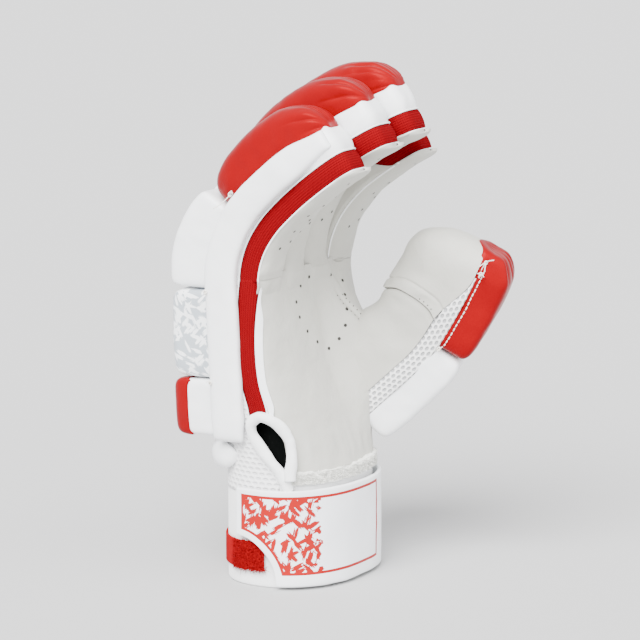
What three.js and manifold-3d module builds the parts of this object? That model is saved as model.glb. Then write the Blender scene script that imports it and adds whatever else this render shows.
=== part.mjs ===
// A right-hand cricket batting glove that stands on its cuff, as an assembly of its sewn pieces.
// Millimetres, +Z up. The palm faces -Y, the thumb is on the +X side and the little finger on the -X side.
import * as THREE from 'three';
import { mergeVertices } from 'three/addons/utils/BufferGeometryUtils.js';
import Module from 'manifold-3d';

const wasm = await Module();
wasm.setup();

// Driving sizes
const CLEARANCE = 0.35; // between any two neighbouring pieces
const HAND_CLEARANCE = 0.65; // between the hand's walls and what lies on them
const LEATHER = 1.6; // palm leather and thumb leather
const KNIT = 2.0; // stretch knit between palm and back
const MESH = 2.5; // spacer mesh on the back and at the thumb

const CUFF_WIDTH = 90; // across the wrist
const CUFF_DEPTH = 67; // palm to back at the wrist
const CUFF_HEIGHT = 56;
const CUFF_WALL = 3;
const CUFF_LEAN_BACK = 1.5; // the cuff's middle lies this far behind the hand's
const TERRY_HEIGHT = 5.5;
const TERRY_PROUD = 1.2;

const PALM_HEIGHT = 102; // from the terry edge to the finger roots
const HAND_DEPTH = 27; // palm to back at the finger roots
const PALM_TO_KNIT = 8.2; // from the palm's face up to the middle of the knit band
const KNIT_HALF = 5.6; // half the height of the knit band

const KNIT_BACK = 3.5; // the middle of the knit at the roots lies this far behind the middle of the cuff

const FINGER_WIDTH = 24.5;
const FINGER_LENGTH = 113; // of the middle finger, from its root
const FINGER_GAP = 0.8;
const STALL_ROOF = 13; // top of a finger's hollow, above the middle of the knit
const CASE_TOP = 19.5; // top of the padded case round a finger
const CASE_WALL = 3.2;
const TONGUE = 2.5; // how far a finger's leather passes its tip

const CAP_HEIGHT = 25.5; // red finger caps, above the case
const PAD_TOP = 50.5; // outer face of the pads on the back, above the middle of the knit
const PAD_SINK = 4; // how far the pads reach below the case top, down to the back of the hand
const PAD_GROOVE = 0.8; // between pads in one column
const PLEAT_DEPTH = 0.075; // share of the cap's height
const PLEATS = 4;
const PAD_ROUNDING = 2.6; // how far a pad's top drops at its ends

const SIDE_PANEL = 5.5; // thickness of the padded strip along the little finger
const SIDE_PANEL_TOP = 24.5; // above the middle of the knit

const THUMB_LENGTH = 108;
const THUMB_WIDTH = 30;
const THUMB_DEPTH = 35; // leather side, from the mesh down
const THUMB_MESH_HALF = 5;
const THUMB_PAD = 17; // height of the thumb's pads above the mesh

const STRAP_HEIGHT = 49;
const STRAP_WALL = 2.6;
const STRAP_FOOT = 1.6; // above the surface the glove stands on
const STRAP_NOTCH = 26; // radius of the scooped corner at the strap's free end
const PATCH_WALL = 1.5;
const PATCH_HEIGHT = 15;
const PATCH_FOOT = 9; // above the surface the glove stands on
const BINDING_WIDTH = 7.5;
const BINDING_WALL = 2.6;
const BINDING_CROSSING = 2.2; // how far the upper strand stands off where the two strands cross
const ROLL_HEIGHT = 13; // the soft roll across the back of the wrist
const ROLL_THICKNESS = 8.5;
const ROLL_MIDDLE = 8; // above the terry edge

// The four fingers, from the little finger to the index. wide and long are shares of FINGER_WIDTH and
// FINGER_LENGTH, lift is a share of HAND_DEPTH; inner tells how far a finger follows the inner column of
// FINGER_BEND rather than the outer one, and curl how much of it.
const FINGERS = [
  { name: 'little', wide: 0.94, long: 0.79, lift: 0, drift: -0.008, inner: 0, curl: 0.97 },
  { name: 'ring', wide: 1, long: 0.93, lift: 0.1, drift: -0.003, inner: 0.6, curl: 0.97 },
  { name: 'middle', wide: 1, long: 1, lift: 0.14, drift: 0.003, inner: 1, curl: 0.97 },
  { name: 'index', wide: 1, long: 0.805, lift: 0.05, drift: 0.008, inner: 0.5, curl: 0.95 },
];
for (const finger of FINGERS) {
  finger.width = finger.wide * FINGER_WIDTH;
  finger.length = finger.long * FINGER_LENGTH;
}

// How a finger bends towards the palm: lean in degrees from upright, at a share of the finger's length, for an
// outer finger and for an inner one.
const FINGER_BEND = [
  { at: 0, outer: 5, inner: 4 },
  { at: 0.11, outer: 17, inner: 10 },
  { at: 0.24, outer: 32, inner: 22 },
  { at: 0.42, outer: 46, inner: 38 },
  { at: 0.65, outer: 53, inner: 60 },
  { at: 1, outer: 58, inner: 66 },
];
const BACK_LEAN = -2; // the pads on the back of the hand lean back a little, in degrees

// How the thumb stands out: rise above the horizontal and turn from the palm's facing towards +X, in degrees.
const THUMB_BEND = [
  { at: 0, rise: 44, out: 18 },
  { at: 0.33, rise: 43, out: 13 },
  { at: 0.52, rise: 58, out: 8 },
  { at: 1, rise: 66, out: 5 },
];

// The hand between the terry edge (up 0) and the finger roots (up 1). mix runs from the wrist's oval to the
// knuckles' flat form. The four y columns are shares of HAND_DEPTH; mound is the swelling below the thumb.
const HAND = [
  { up: 0, mix: 0, swell: 0, ulnarY: 0, thumbY: -0.06, palmY: 0, mound: 0, square: 2.3 },
  { up: 0.16, mix: 0.2, swell: 0.005, ulnarY: -0.09, thumbY: -0.22, palmY: 0, mound: 0.1, square: 2.5 },
  { up: 0.31, mix: 0.43, swell: 0.02, ulnarY: -0.11, thumbY: -0.36, palmY: 0, mound: 0.34, square: 2.8 },
  { up: 0.47, mix: 0.68, swell: 0.03, ulnarY: 0.02, thumbY: -0.36, palmY: 0, mound: 0.55, square: 3.2 },
  { up: 0.67, mix: 0.86, swell: 0.03, ulnarY: 0.07, thumbY: -0.28, palmY: 0.01, mound: 0.55, square: 3.7 },
  { up: 0.86, mix: 0.96, swell: 0.02, ulnarY: 0.04, thumbY: -0.12, palmY: 0.04, mound: 0.22, square: 4.2 },
  { up: 1, mix: 1, swell: 0, ulnarY: 0, thumbY: 0, palmY: 0.05, mound: 0, square: 5 },
];
// Where the leather starts and the mesh ends, as shares of KNIT_HALF below the little-finger edge. The slit
// at the wrist is the gap between them.
const SLIT = [
  { up: 0, leather: 2.9, mesh: 2.3 },
  { up: 0.16, leather: 2.3, mesh: -0.1 },
  { up: 0.31, leather: 1.1, mesh: -1 },
  { up: 0.47, leather: 1, mesh: -1 },
];
const THUMB_SEAM = 0.36; // where the leather ends on the thumb side, as a share of the back's depth

// Pads from the fingertip down. Ends above the finger roots are shares of finger length, ends below them shares
// of PALM_HEIGHT.
const CAP_START = 0.27;
const BACK_PADS = [
  { name: 'knuckle_pad', low: -0.06, high: CAP_START, slot: 'white' },
  { name: 'back_pad', low: -0.53, high: -0.06, slot: 'grey' },
  { name: 'base_pad', low: -0.835, high: -0.53, slot: 'red' },
];

// The cap's height along it, low end to tip, as shares of CAP_HEIGHT.
const CAP_FORM = [
  { at: 0, height: 0.84, width: 0.9 },
  { at: 0.06, height: 0.95, width: 1 },
  { at: 0.25, height: 1.02, width: 1 },
  { at: 0.5, height: 1.02, width: 1 },
  { at: 0.7, height: 0.93, width: 0.98 },
  { at: 0.84, height: 0.78, width: 0.95 },
  { at: 0.94, height: 0.52, width: 0.88 },
  { at: 1, height: 0.16, width: 0.74 },
];

// The thumb leather's depth along it, as shares of THUMB_DEPTH, and its width, as shares of THUMB_WIDTH.
const THUMB_FORM = [
  { at: -0.12, depth: 1.12, width: 1 },
  { at: 0.12, depth: 1.12, width: 1.05 },
  { at: 0.3, depth: 1.07, width: 1.06 },
  { at: 0.44, depth: 1.02, width: 0.98 },
  { at: 0.56, depth: 1, width: 1 },
  { at: 0.72, depth: 1.03, width: 1.06 },
  { at: 0.86, depth: 1.02, width: 1.04 },
  { at: 0.95, depth: 0.92, width: 0.94 },
  { at: 1, depth: 0.74, width: 0.76 },
];

const COLOURS = {
  white: { color: 0xf1f1f0, roughness: 0.5 },
  leather: { color: 0xe4e3dd, roughness: 0.6 },
  red: { color: 0xd92f28, roughness: 0.42 },
  grey: { color: 0xcdd1d6, roughness: 0.5 },
  knit: { color: 0xc71712, roughness: 0.9 },
  mesh: { color: 0xe6e3e3, roughness: 0.9 },
  terry: { color: 0xe0e0d8, roughness: 1.0 },
};
const materials = Object.fromEntries(
  Object.entries(COLOURS).map(([name, look]) => [name, new THREE.MeshStandardMaterial({ ...look, metalness: 0 })]),
);

const glove = new THREE.Group();

// Numbers and tables

const radians = THREE.MathUtils.degToRad;
const lerp = THREE.MathUtils.lerp;
const steps = (from, to, count) => Array.from({ length: count + 1 }, (_, i) => lerp(from, to, i / count));

// A column of a table, read between its rows.
function read(table, column, at, key = 'at') {
  if (at <= table[0][key]) return table[0][column];
  for (let i = 1; i < table.length; i++) {
    const [low, high] = [table[i - 1], table[i]];
    if (at <= high[key]) return lerp(low[column], high[column], (at - low[key]) / (high[key] - low[key]));
  }
  return table.at(-1)[column];
}

// Solids

function geometryOf(points, triangles) {
  const geometry = new THREE.BufferGeometry().setFromPoints(points);
  geometry.setIndex(triangles);
  return geometry;
}

function solidOf(geometry) {
  const merged = mergeVertices(geometry, 1e-4);
  const make = (triVerts) =>
    new wasm.Manifold(new wasm.Mesh({ numProp: 3, vertProperties: merged.attributes.position.array, triVerts }));
  const triVerts = new Uint32Array(merged.index.array);
  const made = make(triVerts);
  return made.volume() > 0 ? made : make(triVerts.reverse());
}

// Closes a row of rings, each a closed outline of the same number of points, with a fan over each end.
function loft(rings) {
  const count = rings[0].length;
  const points = rings.flat();
  const triangles = [];
  for (let i = 0; i + 1 < rings.length; i++) {
    for (let j = 0; j < count; j++) {
      const [a, b] = [i * count + j, i * count + ((j + 1) % count)];
      triangles.push(a, b, b + count, a, b + count, a + count);
    }
  }
  for (const [ring, first, turn] of [[rings[0], 0, 1], [rings.at(-1), (rings.length - 1) * count, -1]]) {
    const middle = ring.reduce((sum, p) => sum.add(p), new THREE.Vector3()).divideScalar(count);
    points.push(middle);
    for (let j = 0; j < count; j++) {
      const edge = [first + j, first + ((j + 1) % count)];
      triangles.push(points.length - 1, ...(turn > 0 ? edge.reverse() : edge));
    }
  }
  return solidOf(geometryOf(points, triangles));
}

// A wall between two grids of points, outer and inner. A closed wall goes all the way round.
function wall(outer, inner, closed = false) {
  const [rows, columns] = [outer.length, outer[0].length];
  const points = [...outer.flat(), ...inner.flat()];
  const triangles = [];
  const quad = (a, b, c, d) => triangles.push(a, b, c, a, c, d);
  const at = (side, i, j) => side * rows * columns + i * columns + (j % columns);
  const last = closed ? columns : columns - 1;
  for (let j = 0; j < last; j++) {
    for (let i = 0; i + 1 < rows; i++) {
      quad(at(0, i, j), at(0, i, j + 1), at(0, i + 1, j + 1), at(0, i + 1, j));
      quad(at(1, i, j), at(1, i + 1, j), at(1, i + 1, j + 1), at(1, i, j + 1));
    }
    quad(at(0, 0, j), at(1, 0, j), at(1, 0, j + 1), at(0, 0, j + 1));
    quad(at(0, rows - 1, j), at(0, rows - 1, j + 1), at(1, rows - 1, j + 1), at(1, rows - 1, j));
  }
  for (let i = 0; !closed && i + 1 < rows; i++) {
    quad(at(0, i, 0), at(0, i + 1, 0), at(1, i + 1, 0), at(1, i, 0));
    const j = columns - 1;
    quad(at(0, i, j), at(1, i, j), at(1, i + 1, j), at(0, i + 1, j));
  }
  return solidOf(geometryOf(points, triangles));
}

const FLAT_ENOUGH = 0.06; // facets closer than this to one plane are merged

function piece(name, slot, solid) {
  const { vertProperties, triVerts } = solid.simplify(FLAT_ENOUGH).getMesh();
  const geometry = new THREE.BufferGeometry();
  geometry.setAttribute('position', new THREE.BufferAttribute(vertProperties, 3));
  geometry.setIndex(new THREE.BufferAttribute(triVerts, 1));
  geometry.computeVertexNormals();
  const mesh = new THREE.Mesh(geometry, materials[slot]);
  mesh.name = name;
  glove.add(mesh);
}

// Limbs: a bent line with a frame along it. at(s, a, b) is the point s along, a across and b towards the back.

function limb(start, directionAt, backAt, from, to) {
  const frames = [];
  const place = start.clone();
  for (let s = from; s <= to; s += 1) {
    const along = directionAt(s);
    const back = backAt(s).addScaledVector(along, -backAt(s).dot(along)).normalize();
    frames.push({ place: place.clone(), back, across: new THREE.Vector3().crossVectors(back, along) });
    place.add(along);
  }
  const origin = frames[-from].place.clone().sub(start);
  return {
    at(s, a, b) {
      const i = THREE.MathUtils.clamp(Math.floor(s - from), 0, frames.length - 2);
      const [low, high] = [frames[i], frames[i + 1]].map(({ place: p, back, across }) =>
        p.clone().sub(origin).addScaledVector(across, a).addScaledVector(back, b),
      );
      return low.lerp(high, s - from - i);
    },
  };
}

// The superellipse that a section's rounding follows, at an angle, on half-axes of 1.
function corner(angle, power) {
  const [c, s] = [Math.abs(Math.cos(angle)), Math.abs(Math.sin(angle))];
  const radius = (c ** power + s ** power) ** (-1 / power);
  return { x: radius * Math.cos(angle), y: radius * Math.sin(angle) };
}

// Half the width of a finger-shaped outline: straight sides and a blunt round tip.
function tipped(s, length, half, round) {
  const past = (s - (length - round)) / round;
  return past <= 0 ? half : half * Math.sqrt(Math.max(1 - 0.8 * past ** 2, 0.2));
}

// A slab along a limb, between two heights, as wide as halfAt says.
function slab(line, lengths, halfAt, low, high) {
  return loft(
    lengths.map((s) => {
      const half = halfAt(s);
      return [line.at(s, -half, low), line.at(s, half, low), line.at(s, half, high), line.at(s, -half, high)];
    }),
  );
}

// A crowned pad along a limb. Each row gives a length, a half width, a foot and a top.
function crownedPad(line, rows, ringPoints, power, heightAt = () => 1) {
  return loft(
    rows.map(({ s, half, low, high, at }) =>
      steps(0, Math.PI, ringPoints - 1).map((angle) => {
        const { x, y } = corner(angle, power);
        return line.at(s, half * x, low + (high - low) * y * heightAt(angle, at));
      }),
    ),
  );
}

// How full a pad is near its two ends: 0 at an end, 1 from a share of its length inwards.
const roundedEnd = (at, share) => Math.sin(Math.min(1, Math.min(at, 1 - at) / share) * (Math.PI / 2));
const PAD_ROWS = [0, 0.06, 0.2, 0.5, 0.8, 0.94, 1];

// The hand's sections

const WRIST_Z = CUFF_HEIGHT + CLEARANCE + TERRY_HEIGHT;
const ROOT_Z = WRIST_Z + PALM_HEIGHT;
const KNUCKLE_WIDTH = FINGERS.reduce((sum, f) => sum + f.width, 0) + FINGER_GAP * (FINGERS.length - 1);
const PALM_Y = KNIT_BACK - PALM_TO_KNIT;

// The four cardinal places of the hand's outline at a share of its height.
function handSection(up) {
  const [mix, swell] = [read(HAND, 'mix', up, 'up'), read(HAND, 'swell', up, 'up')];
  const shift = (column) => read(HAND, column, up, 'up') * HAND_DEPTH;
  const half = lerp(CUFF_WIDTH / 2, KNUCKLE_WIDTH / 2, mix) * (1 + swell);
  const middle = lerp(CUFF_LEAN_BACK, KNIT_BACK, mix);
  return {
    z: lerp(WRIST_Z, ROOT_Z, up),
    half,
    ulnarY: middle + shift('ulnarY'),
    thumbY: middle + shift('thumbY'),
    palmY: lerp(CUFF_LEAN_BACK - CUFF_DEPTH / 2, PALM_Y, mix) + shift('palmY'),
    backY: lerp(CUFF_LEAN_BACK + CUFF_DEPTH / 2, PALM_Y + HAND_DEPTH, mix),
    mound: shift('mound'),
    power: read(HAND, 'square', up, 'up'),
  };
}

// A point of a section, inset from its outline. turn runs from the little-finger edge (0) by the palm (0.25),
// the thumb edge (0.5) and the back (0.75).
function sectionPoint(section, turn, inset = 0) {
  const angle = turn * 2 * Math.PI;
  const { x, y } = corner(angle, section.power);
  const edgeY = x > 0 ? section.ulnarY : section.thumbY;
  const edge = lerp((section.palmY + section.backY) / 2, edgeY, Math.abs(x));
  const reach = y > 0 ? edge - section.palmY : section.backY - edge;
  const [moundFrom, moundTo] = [0.1, 1.05];
  const across = THREE.MathUtils.clamp((-x - moundFrom) / (moundTo - moundFrom), 0, 1);
  const mound = y > 0 ? section.mound * Math.sin(Math.PI * across) ** 2 : 0;
  return new THREE.Vector3(-x * (section.half - inset), edge - mound - y * (reach - inset), section.z);
}

// The turn at which a section's outline has gone a distance round from the little-finger edge, palmwards.
function turnAt(section, distance) {
  const reach = distance > 0 ? section.ulnarY - section.palmY : section.backY - section.ulnarY;
  const share = Math.min(Math.abs(distance) / reach, 0.98) ** section.power;
  return (Math.sign(distance) * Math.atan((share / (1 - share)) ** (1 / section.power))) / (2 * Math.PI);
}

// A wall over part of the hand: ends(section, up) gives the two turns that it runs between.
function handWall(ups, columns, ends, thickness) {
  const grid = (inset) =>
    ups.map((up) => {
      const section = handSection(up);
      return steps(...ends(section, up), columns).map((turn) => sectionPoint(section, turn, inset));
    });
  return wall(grid(0), grid(thickness));
}

const HAND_UPS = HAND.map(({ up }) => up);

// The hand's outer volume, grown by a clearance, for fitting what lies on it.
function handVolume(grow, columns) {
  return loft(
    [-0.02, ...HAND_UPS].map((up) => {
      const section = { ...handSection(Math.max(up, 0)), z: lerp(WRIST_Z, ROOT_Z, up) };
      return steps(0, 1, columns).slice(1).map((turn) => sectionPoint(section, turn, -grow));
    }),
  );
}
const handAround = handVolume(HAND_CLEARANCE, 56);

// Fingers

const WRIST_TAPER = 0.08; // how much narrower the columns of pads are at the terry edge
let reached = -KNUCKLE_WIDTH / 2;
for (const finger of FINGERS) {
  finger.rootX = reached + finger.width / 2;
  reached += finger.width + FINGER_GAP;
  const lean = (s) => {
    if (s <= 0) return radians(BACK_LEAN);
    const [outer, inner] = ['outer', 'inner'].map((column) => read(FINGER_BEND, column, s / finger.length));
    return radians(lerp(outer, inner, finger.inner) * finger.curl);
  };
  const sway = (s) => (s > 0 ? finger.drift : (finger.rootX / PALM_HEIGHT) * WRIST_TAPER);
  const direction = (s) => new THREE.Vector3(sway(s), -Math.sin(lean(s)), Math.cos(lean(s))).normalize();
  const back = (s) => new THREE.Vector3(0, Math.cos(lean(s)), Math.sin(lean(s)));
  const root = new THREE.Vector3(finger.rootX, KNIT_BACK + finger.lift * HAND_DEPTH, ROOT_Z);
  finger.line = limb(root, direction, back, -Math.ceil(PALM_HEIGHT), Math.ceil(finger.length) + 6);
  finger.half = finger.width / 2;
}

const BEND_STEPS = FINGER_BEND.map(({ at }) => at).slice(1, -1).concat([0.82, 0.92]);
const END_STEPS = [0.5, 0.15, 0];
const BELOW = -40; // lower than any piece, for cuts that go right through
const PAD_POWER = 3.4; // squareness of the pads' sections
const CAP_POWER = 2.7;

for (const finger of FINGERS) {
  const { name, line, length, half } = finger;
  const round = half * 0.85;
  const stations = (end, start = CLEARANCE) => [
    start,
    ...BEND_STEPS.map((share) => share * length),
    ...END_STEPS.map((share) => lerp(end, BEND_STEPS.at(-1) * length, share)),
  ];
  const block = (inset, end, low, high, start) =>
    slab(line, stations(end, start), (s) => tipped(s, end, half, round) - inset, low, high);

  const leather = block(CLEARANCE / 2, length + TONGUE, -PALM_TO_KNIT, -KNIT_HALF - CLEARANCE);
  piece(`${name}_underside`, 'leather', leather);

  const gusset = block(0, length, -KNIT_HALF, KNIT_HALF).subtract(block(KNIT, length - KNIT, BELOW, -BELOW, -4));
  const downTheHand = handWall([...HAND_UPS.slice(2, -1), 1.015], 3, (section) =>
    [KNIT_HALF, -KNIT_HALF].map((distance) => turnAt(section, distance)), KNIT);
  piece(`${name}_gusset`, 'knit', name === 'little' ? gusset.add(downTheHand) : gusset);

  const caseHollow = block(CASE_WALL, length - CASE_WALL, BELOW, STALL_ROOF, -4);
  piece(`${name}_case`, 'white', block(0, length, KNIT_HALF + CLEARANCE, CASE_TOP).subtract(caseHollow));

  const seat = slab(line, [-4, ...stations(length), length + 5], () => half + 4, BELOW, CASE_TOP + CLEARANCE);
  const capRows = CAP_FORM.map(({ at, height, width }) => {
    const s = lerp(CAP_START * length + PAD_GROOVE / 2, length, at);
    return { at, s, half: half * width - CLEARANCE / 2, low: CASE_TOP - 1, high: CASE_TOP + CAP_HEIGHT * height };
  });
  const pleat = (angle, at) => {
    const fade = THREE.MathUtils.smoothstep(at, 0.62, 0.92);
    return 1 - PLEAT_DEPTH * fade * (1 - Math.cos(2 * PLEATS * angle));
  };
  piece(`${name}_cap`, 'red', crownedPad(line, capRows, 17, CAP_POWER, pleat).subtract(seat));

  const reach = (end) => (end > 0 ? end * length : end * PALM_HEIGHT);
  for (const { name: pad, low, high, slot } of BACK_PADS) {
    const ends = [reach(low) + PAD_GROOVE / 2, reach(high) - PAD_GROOVE / 2];
    const rows = PAD_ROWS.map((at) => {
      const s = lerp(...ends, at);
      const drop = PAD_ROUNDING * (1 - roundedEnd(at, 0.2));
      const rise = THREE.MathUtils.smoothstep(s, 0, CAP_START * length) * (PAD_TOP - CASE_TOP - CAP_HEIGHT);
      const wide = half * Math.min(1, 1 + (WRIST_TAPER * s) / PALM_HEIGHT) - CLEARANCE / 2;
      return { at, s, half: wide - drop / 3, low: CASE_TOP - PAD_SINK, high: PAD_TOP - rise - drop };
    });
    piece(`${name}_${pad}`, slot, crownedPad(line, rows, 11, PAD_POWER).subtract(handAround).subtract(seat));
  }
}

// The hand: palm leather, back mesh and the padded side strip

const seamAt = (column, up) => read(SLIT, column, up, 'up') * KNIT_HALF;
const thumbSeam = (section) => 0.5 - turnAt({ ...section, ulnarY: section.thumbY }, -THUMB_SEAM * HAND_DEPTH);
const leatherEnds = (section, up) => [turnAt(section, seamAt('leather', up) + CLEARANCE), thumbSeam(section)];
const meshEnds = (section, up) =>
  [thumbSeam(section) + SEAM_TURN, 1 + turnAt(section, seamAt('mesh', up) - CLEARANCE)];
const SEAM_TURN = 0.003; // the clearance at the thumb-side seam, as a share of the way round
const belowRoots = HAND_UPS.map((up) => Math.min(up, 1 - CLEARANCE / PALM_HEIGHT));

const [little] = FINGERS;
const PANEL_ROWS = [-0.84, -0.82, -0.76, -0.5, -0.2, 0, 0.11, 0.24, 0.42, 0.65, 0.86, 0.92, 0.94];
const PANEL_ENDS = [0.55, 0.85, 1]; // how full the strip is in its first and last rows
const panelMiddle = (KNIT_HALF + CLEARANCE + SIDE_PANEL_TOP) / 2;
const panelRings = PANEL_ROWS.map((share, i) => {
  const s = share * (share < 0 ? PALM_HEIGHT : little.length);
  const full = PANEL_ENDS[Math.min(i, PANEL_ROWS.length - 1 - i, 2)];
  const tall = (SIDE_PANEL_TOP - panelMiddle) * (0.75 + 0.25 * full) * lerp(1, 0.86, Math.max(share, 0));
  const outside = -little.half - CLEARANCE - SIDE_PANEL / 2 - (SIDE_PANEL / 2) * (1 - full) * 0.1;
  return steps(0, 2 * Math.PI, 12).slice(1).map((angle) => {
    const { x, y } = corner(angle, 2.6);
    return little.line.at(s, outside + (SIDE_PANEL / 2) * full * x, panelMiddle + tall * y);
  });
});
piece('side_panel', 'white', loft(panelRings).subtract(handAround));

// Thumb

// Where the thumb starts inside the hand: up it, out from its middle, and in from the palm's face to the thumb
// edge, as shares.
const THUMB_ROOT = { up: 0.25, out: 0.782, in: 0.32 };
const rootSection = handSection(THUMB_ROOT.up);
const thumbRoot = new THREE.Vector3(
  rootSection.half * THUMB_ROOT.out, lerp(rootSection.palmY, rootSection.thumbY, THUMB_ROOT.in), rootSection.z);
const thumbBack = new THREE.Vector3(0.35, -0.75, -0.55);
const thumbDirection = (s) => {
  const [rise, out] = ['rise', 'out'].map((column) => radians(read(THUMB_BEND, column, s / THUMB_LENGTH)));
  return new THREE.Vector3(Math.sin(out) * Math.cos(rise), -Math.cos(out) * Math.cos(rise), Math.sin(rise));
};
const thumbReach = [-Math.ceil(THUMB_LENGTH * 0.15), THUMB_LENGTH + 4];
const thumb = limb(thumbRoot, thumbDirection, () => thumbBack, ...thumbReach);
const thumbHalf = (s, inset = 0) => (read(THUMB_FORM, 'width', s / THUMB_LENGTH) * THUMB_WIDTH) / 2 - inset;
const thumbStations = (end) => THUMB_FORM.map(({ at }) => Math.min(at * THUMB_LENGTH, end));

function thumbShell(inset, top, end) {
  return loft(
    thumbStations(end).map((s, i) => {
      const depth = THUMB_FORM[i].depth * THUMB_DEPTH - inset;
      return steps(0, Math.PI, 12).map((angle) => {
        const { x, y } = corner(angle, 2.4);
        return thumb.at(s, thumbHalf(s, inset) * x, top - (depth + top) * y);
      });
    }),
  );
}
const thumbBand = (inset, low, high, end) =>
  slab(thumb, thumbStations(end), (s) => thumbHalf(s, inset), low, high);

const thumbHollow = thumbShell(LEATHER, THUMB_MESH_HALF - CLEARANCE, THUMB_LENGTH - LEATHER);
const thumbOuter = thumbShell(0, -THUMB_MESH_HALF, THUMB_LENGTH);
piece('thumb_leather', 'leather', thumbOuter.subtract(thumbHollow).subtract(handAround));

const bandHollow = thumbBand(MESH, 2 * BELOW, THUMB_MESH_HALF - MESH, THUMB_LENGTH - MESH);
const meshBand = thumbBand(0, CLEARANCE - THUMB_MESH_HALF, THUMB_MESH_HALF, THUMB_LENGTH);
piece('thumb_mesh', 'mesh', meshBand.subtract(bandHollow).subtract(handAround));

const THUMB_PADS = [
  { name: 'thumb_base_pad', slot: 'white', from: -0.05, to: 0.49 },
  { name: 'thumb_tip_pad', slot: 'red', from: 0.49, to: 1 },
];
for (const { name, slot, from, to } of THUMB_PADS) {
  const ends = [from * THUMB_LENGTH + PAD_GROOVE / 2, to * THUMB_LENGTH - PAD_GROOVE / 2];
  const rows = PAD_ROWS.map((at) => {
    const s = lerp(...ends, at);
    const drop = PAD_ROUNDING * 1.4 * (1 - roundedEnd(at, 0.2));
    const half = Math.min(thumbHalf(s), THUMB_WIDTH / 2) - drop / 2.6;
    return { at, s, half, low: THUMB_MESH_HALF + CLEARANCE, high: THUMB_MESH_HALF + THUMB_PAD - drop };
  });
  piece(name, slot, crownedPad(thumb, rows, 13, PAD_POWER).subtract(handAround));
}

// The thumb opens into the hand, so its hollow goes through the palm's wall.
const mouth = thumbShell(LEATHER, THUMB_MESH_HALF - MESH, THUMB_LENGTH * 0.6);
piece('palm_leather', 'leather', handWall(belowRoots, 18, leatherEnds, LEATHER).subtract(mouth));
piece('back_mesh', 'mesh', handWall(belowRoots, 16, meshEnds, MESH).subtract(mouth));

// Cuff

// A point on the cuff's oval, grown by a distance, at a height.
function cuffPoint(z, turn, grow) {
  const [half, depth] = [CUFF_WIDTH / 2 + grow, CUFF_DEPTH / 2 + grow];
  const section = { ...handSection(0), z, half, palmY: CUFF_LEAN_BACK - depth, backY: CUFF_LEAN_BACK + depth };
  return sectionPoint(section, turn);
}

// A wall round the cuff, between two heights and two turns, from an inner to an outer distance.
function cuffWall(heights, turns, inner, outer, closed = false) {
  const grid = (grow) => heights.map((z) => turns.map((turn) => cuffPoint(z, turn, grow)));
  return wall(grid(outer), grid(inner), closed);
}
piece('cuff_band', 'white', cuffWall([0, CUFF_HEIGHT], steps(0, 1, 36).slice(1), -CUFF_WALL, 0, true));

const terryTurns = steps(turnAt(handSection(0), 3.2 * KNIT_HALF), 0.56, 16);
const terryHeights = [CUFF_HEIGHT + CLEARANCE, WRIST_Z - CLEARANCE];
piece('terry_edge', 'terry', cuffWall(terryHeights, terryTurns, -CUFF_WALL, TERRY_PROUD));

const patchTurns = steps(0.72, 1.02, 14);
const patchHeights = [PATCH_FOOT, PATCH_FOOT + PATCH_HEIGHT];
piece('loop_patch', 'knit', cuffWall(patchHeights, patchTurns, CLEARANCE, CLEARANCE + PATCH_WALL));

// The strap runs from the back, round the thumb side and over the palm, to a scooped free end.
const STRAP_ENDS = { free: -0.045, sewn: 0.66 };
const STRAP_INSIDE = PATCH_WALL + 2 * CLEARANCE;
const girth = (Math.PI / 2) * (CUFF_WIDTH + CUFF_DEPTH + 4 * STRAP_INSIDE);
const scoopTurn = STRAP_NOTCH / girth;
const strapTurns = [
  ...steps(0, Math.PI / 2, 7).map((angle) => scoopTurn * Math.sin(angle)),
  ...steps(scoopTurn, STRAP_ENDS.sewn - STRAP_ENDS.free, 18).slice(1),
];
const strapGrid = (grow) =>
  [0, 0.33, 0.67, 1].map((up) =>
    strapTurns.map((travelled) => {
      const scoop = STRAP_NOTCH * Math.sqrt(Math.max(0, 1 - (travelled / scoopTurn) ** 2));
      const z = STRAP_FOOT + lerp(scoop, STRAP_HEIGHT, up);
      return cuffPoint(z, STRAP_ENDS.free + travelled, grow);
    }),
  );
piece('wrist_strap', 'white', wall(strapGrid(STRAP_INSIDE + STRAP_WALL), strapGrid(STRAP_INSIDE)));

// A soft roll across the back of the wrist, below the pads.
const rollRings = steps(0.66, 0.93, 9).map((turn, i, all) => {
  const full = lerp(0.47, 1, roundedEnd(i / (all.length - 1), 0.33));
  return steps(0, 2 * Math.PI, 8).slice(1).map((angle) => {
    const swell = (ROLL_THICKNESS * full * (1 + Math.cos(angle))) / 2;
    const up = (ROLL_MIDDLE + (ROLL_HEIGHT / 2) * full * Math.sin(angle)) / PALM_HEIGHT;
    return sectionPoint(handSection(up), turn, -swell - 2 * CLEARANCE);
  });
});
piece('wrist_roll', 'white', loft(rollRings).subtract(handAround));

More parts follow.
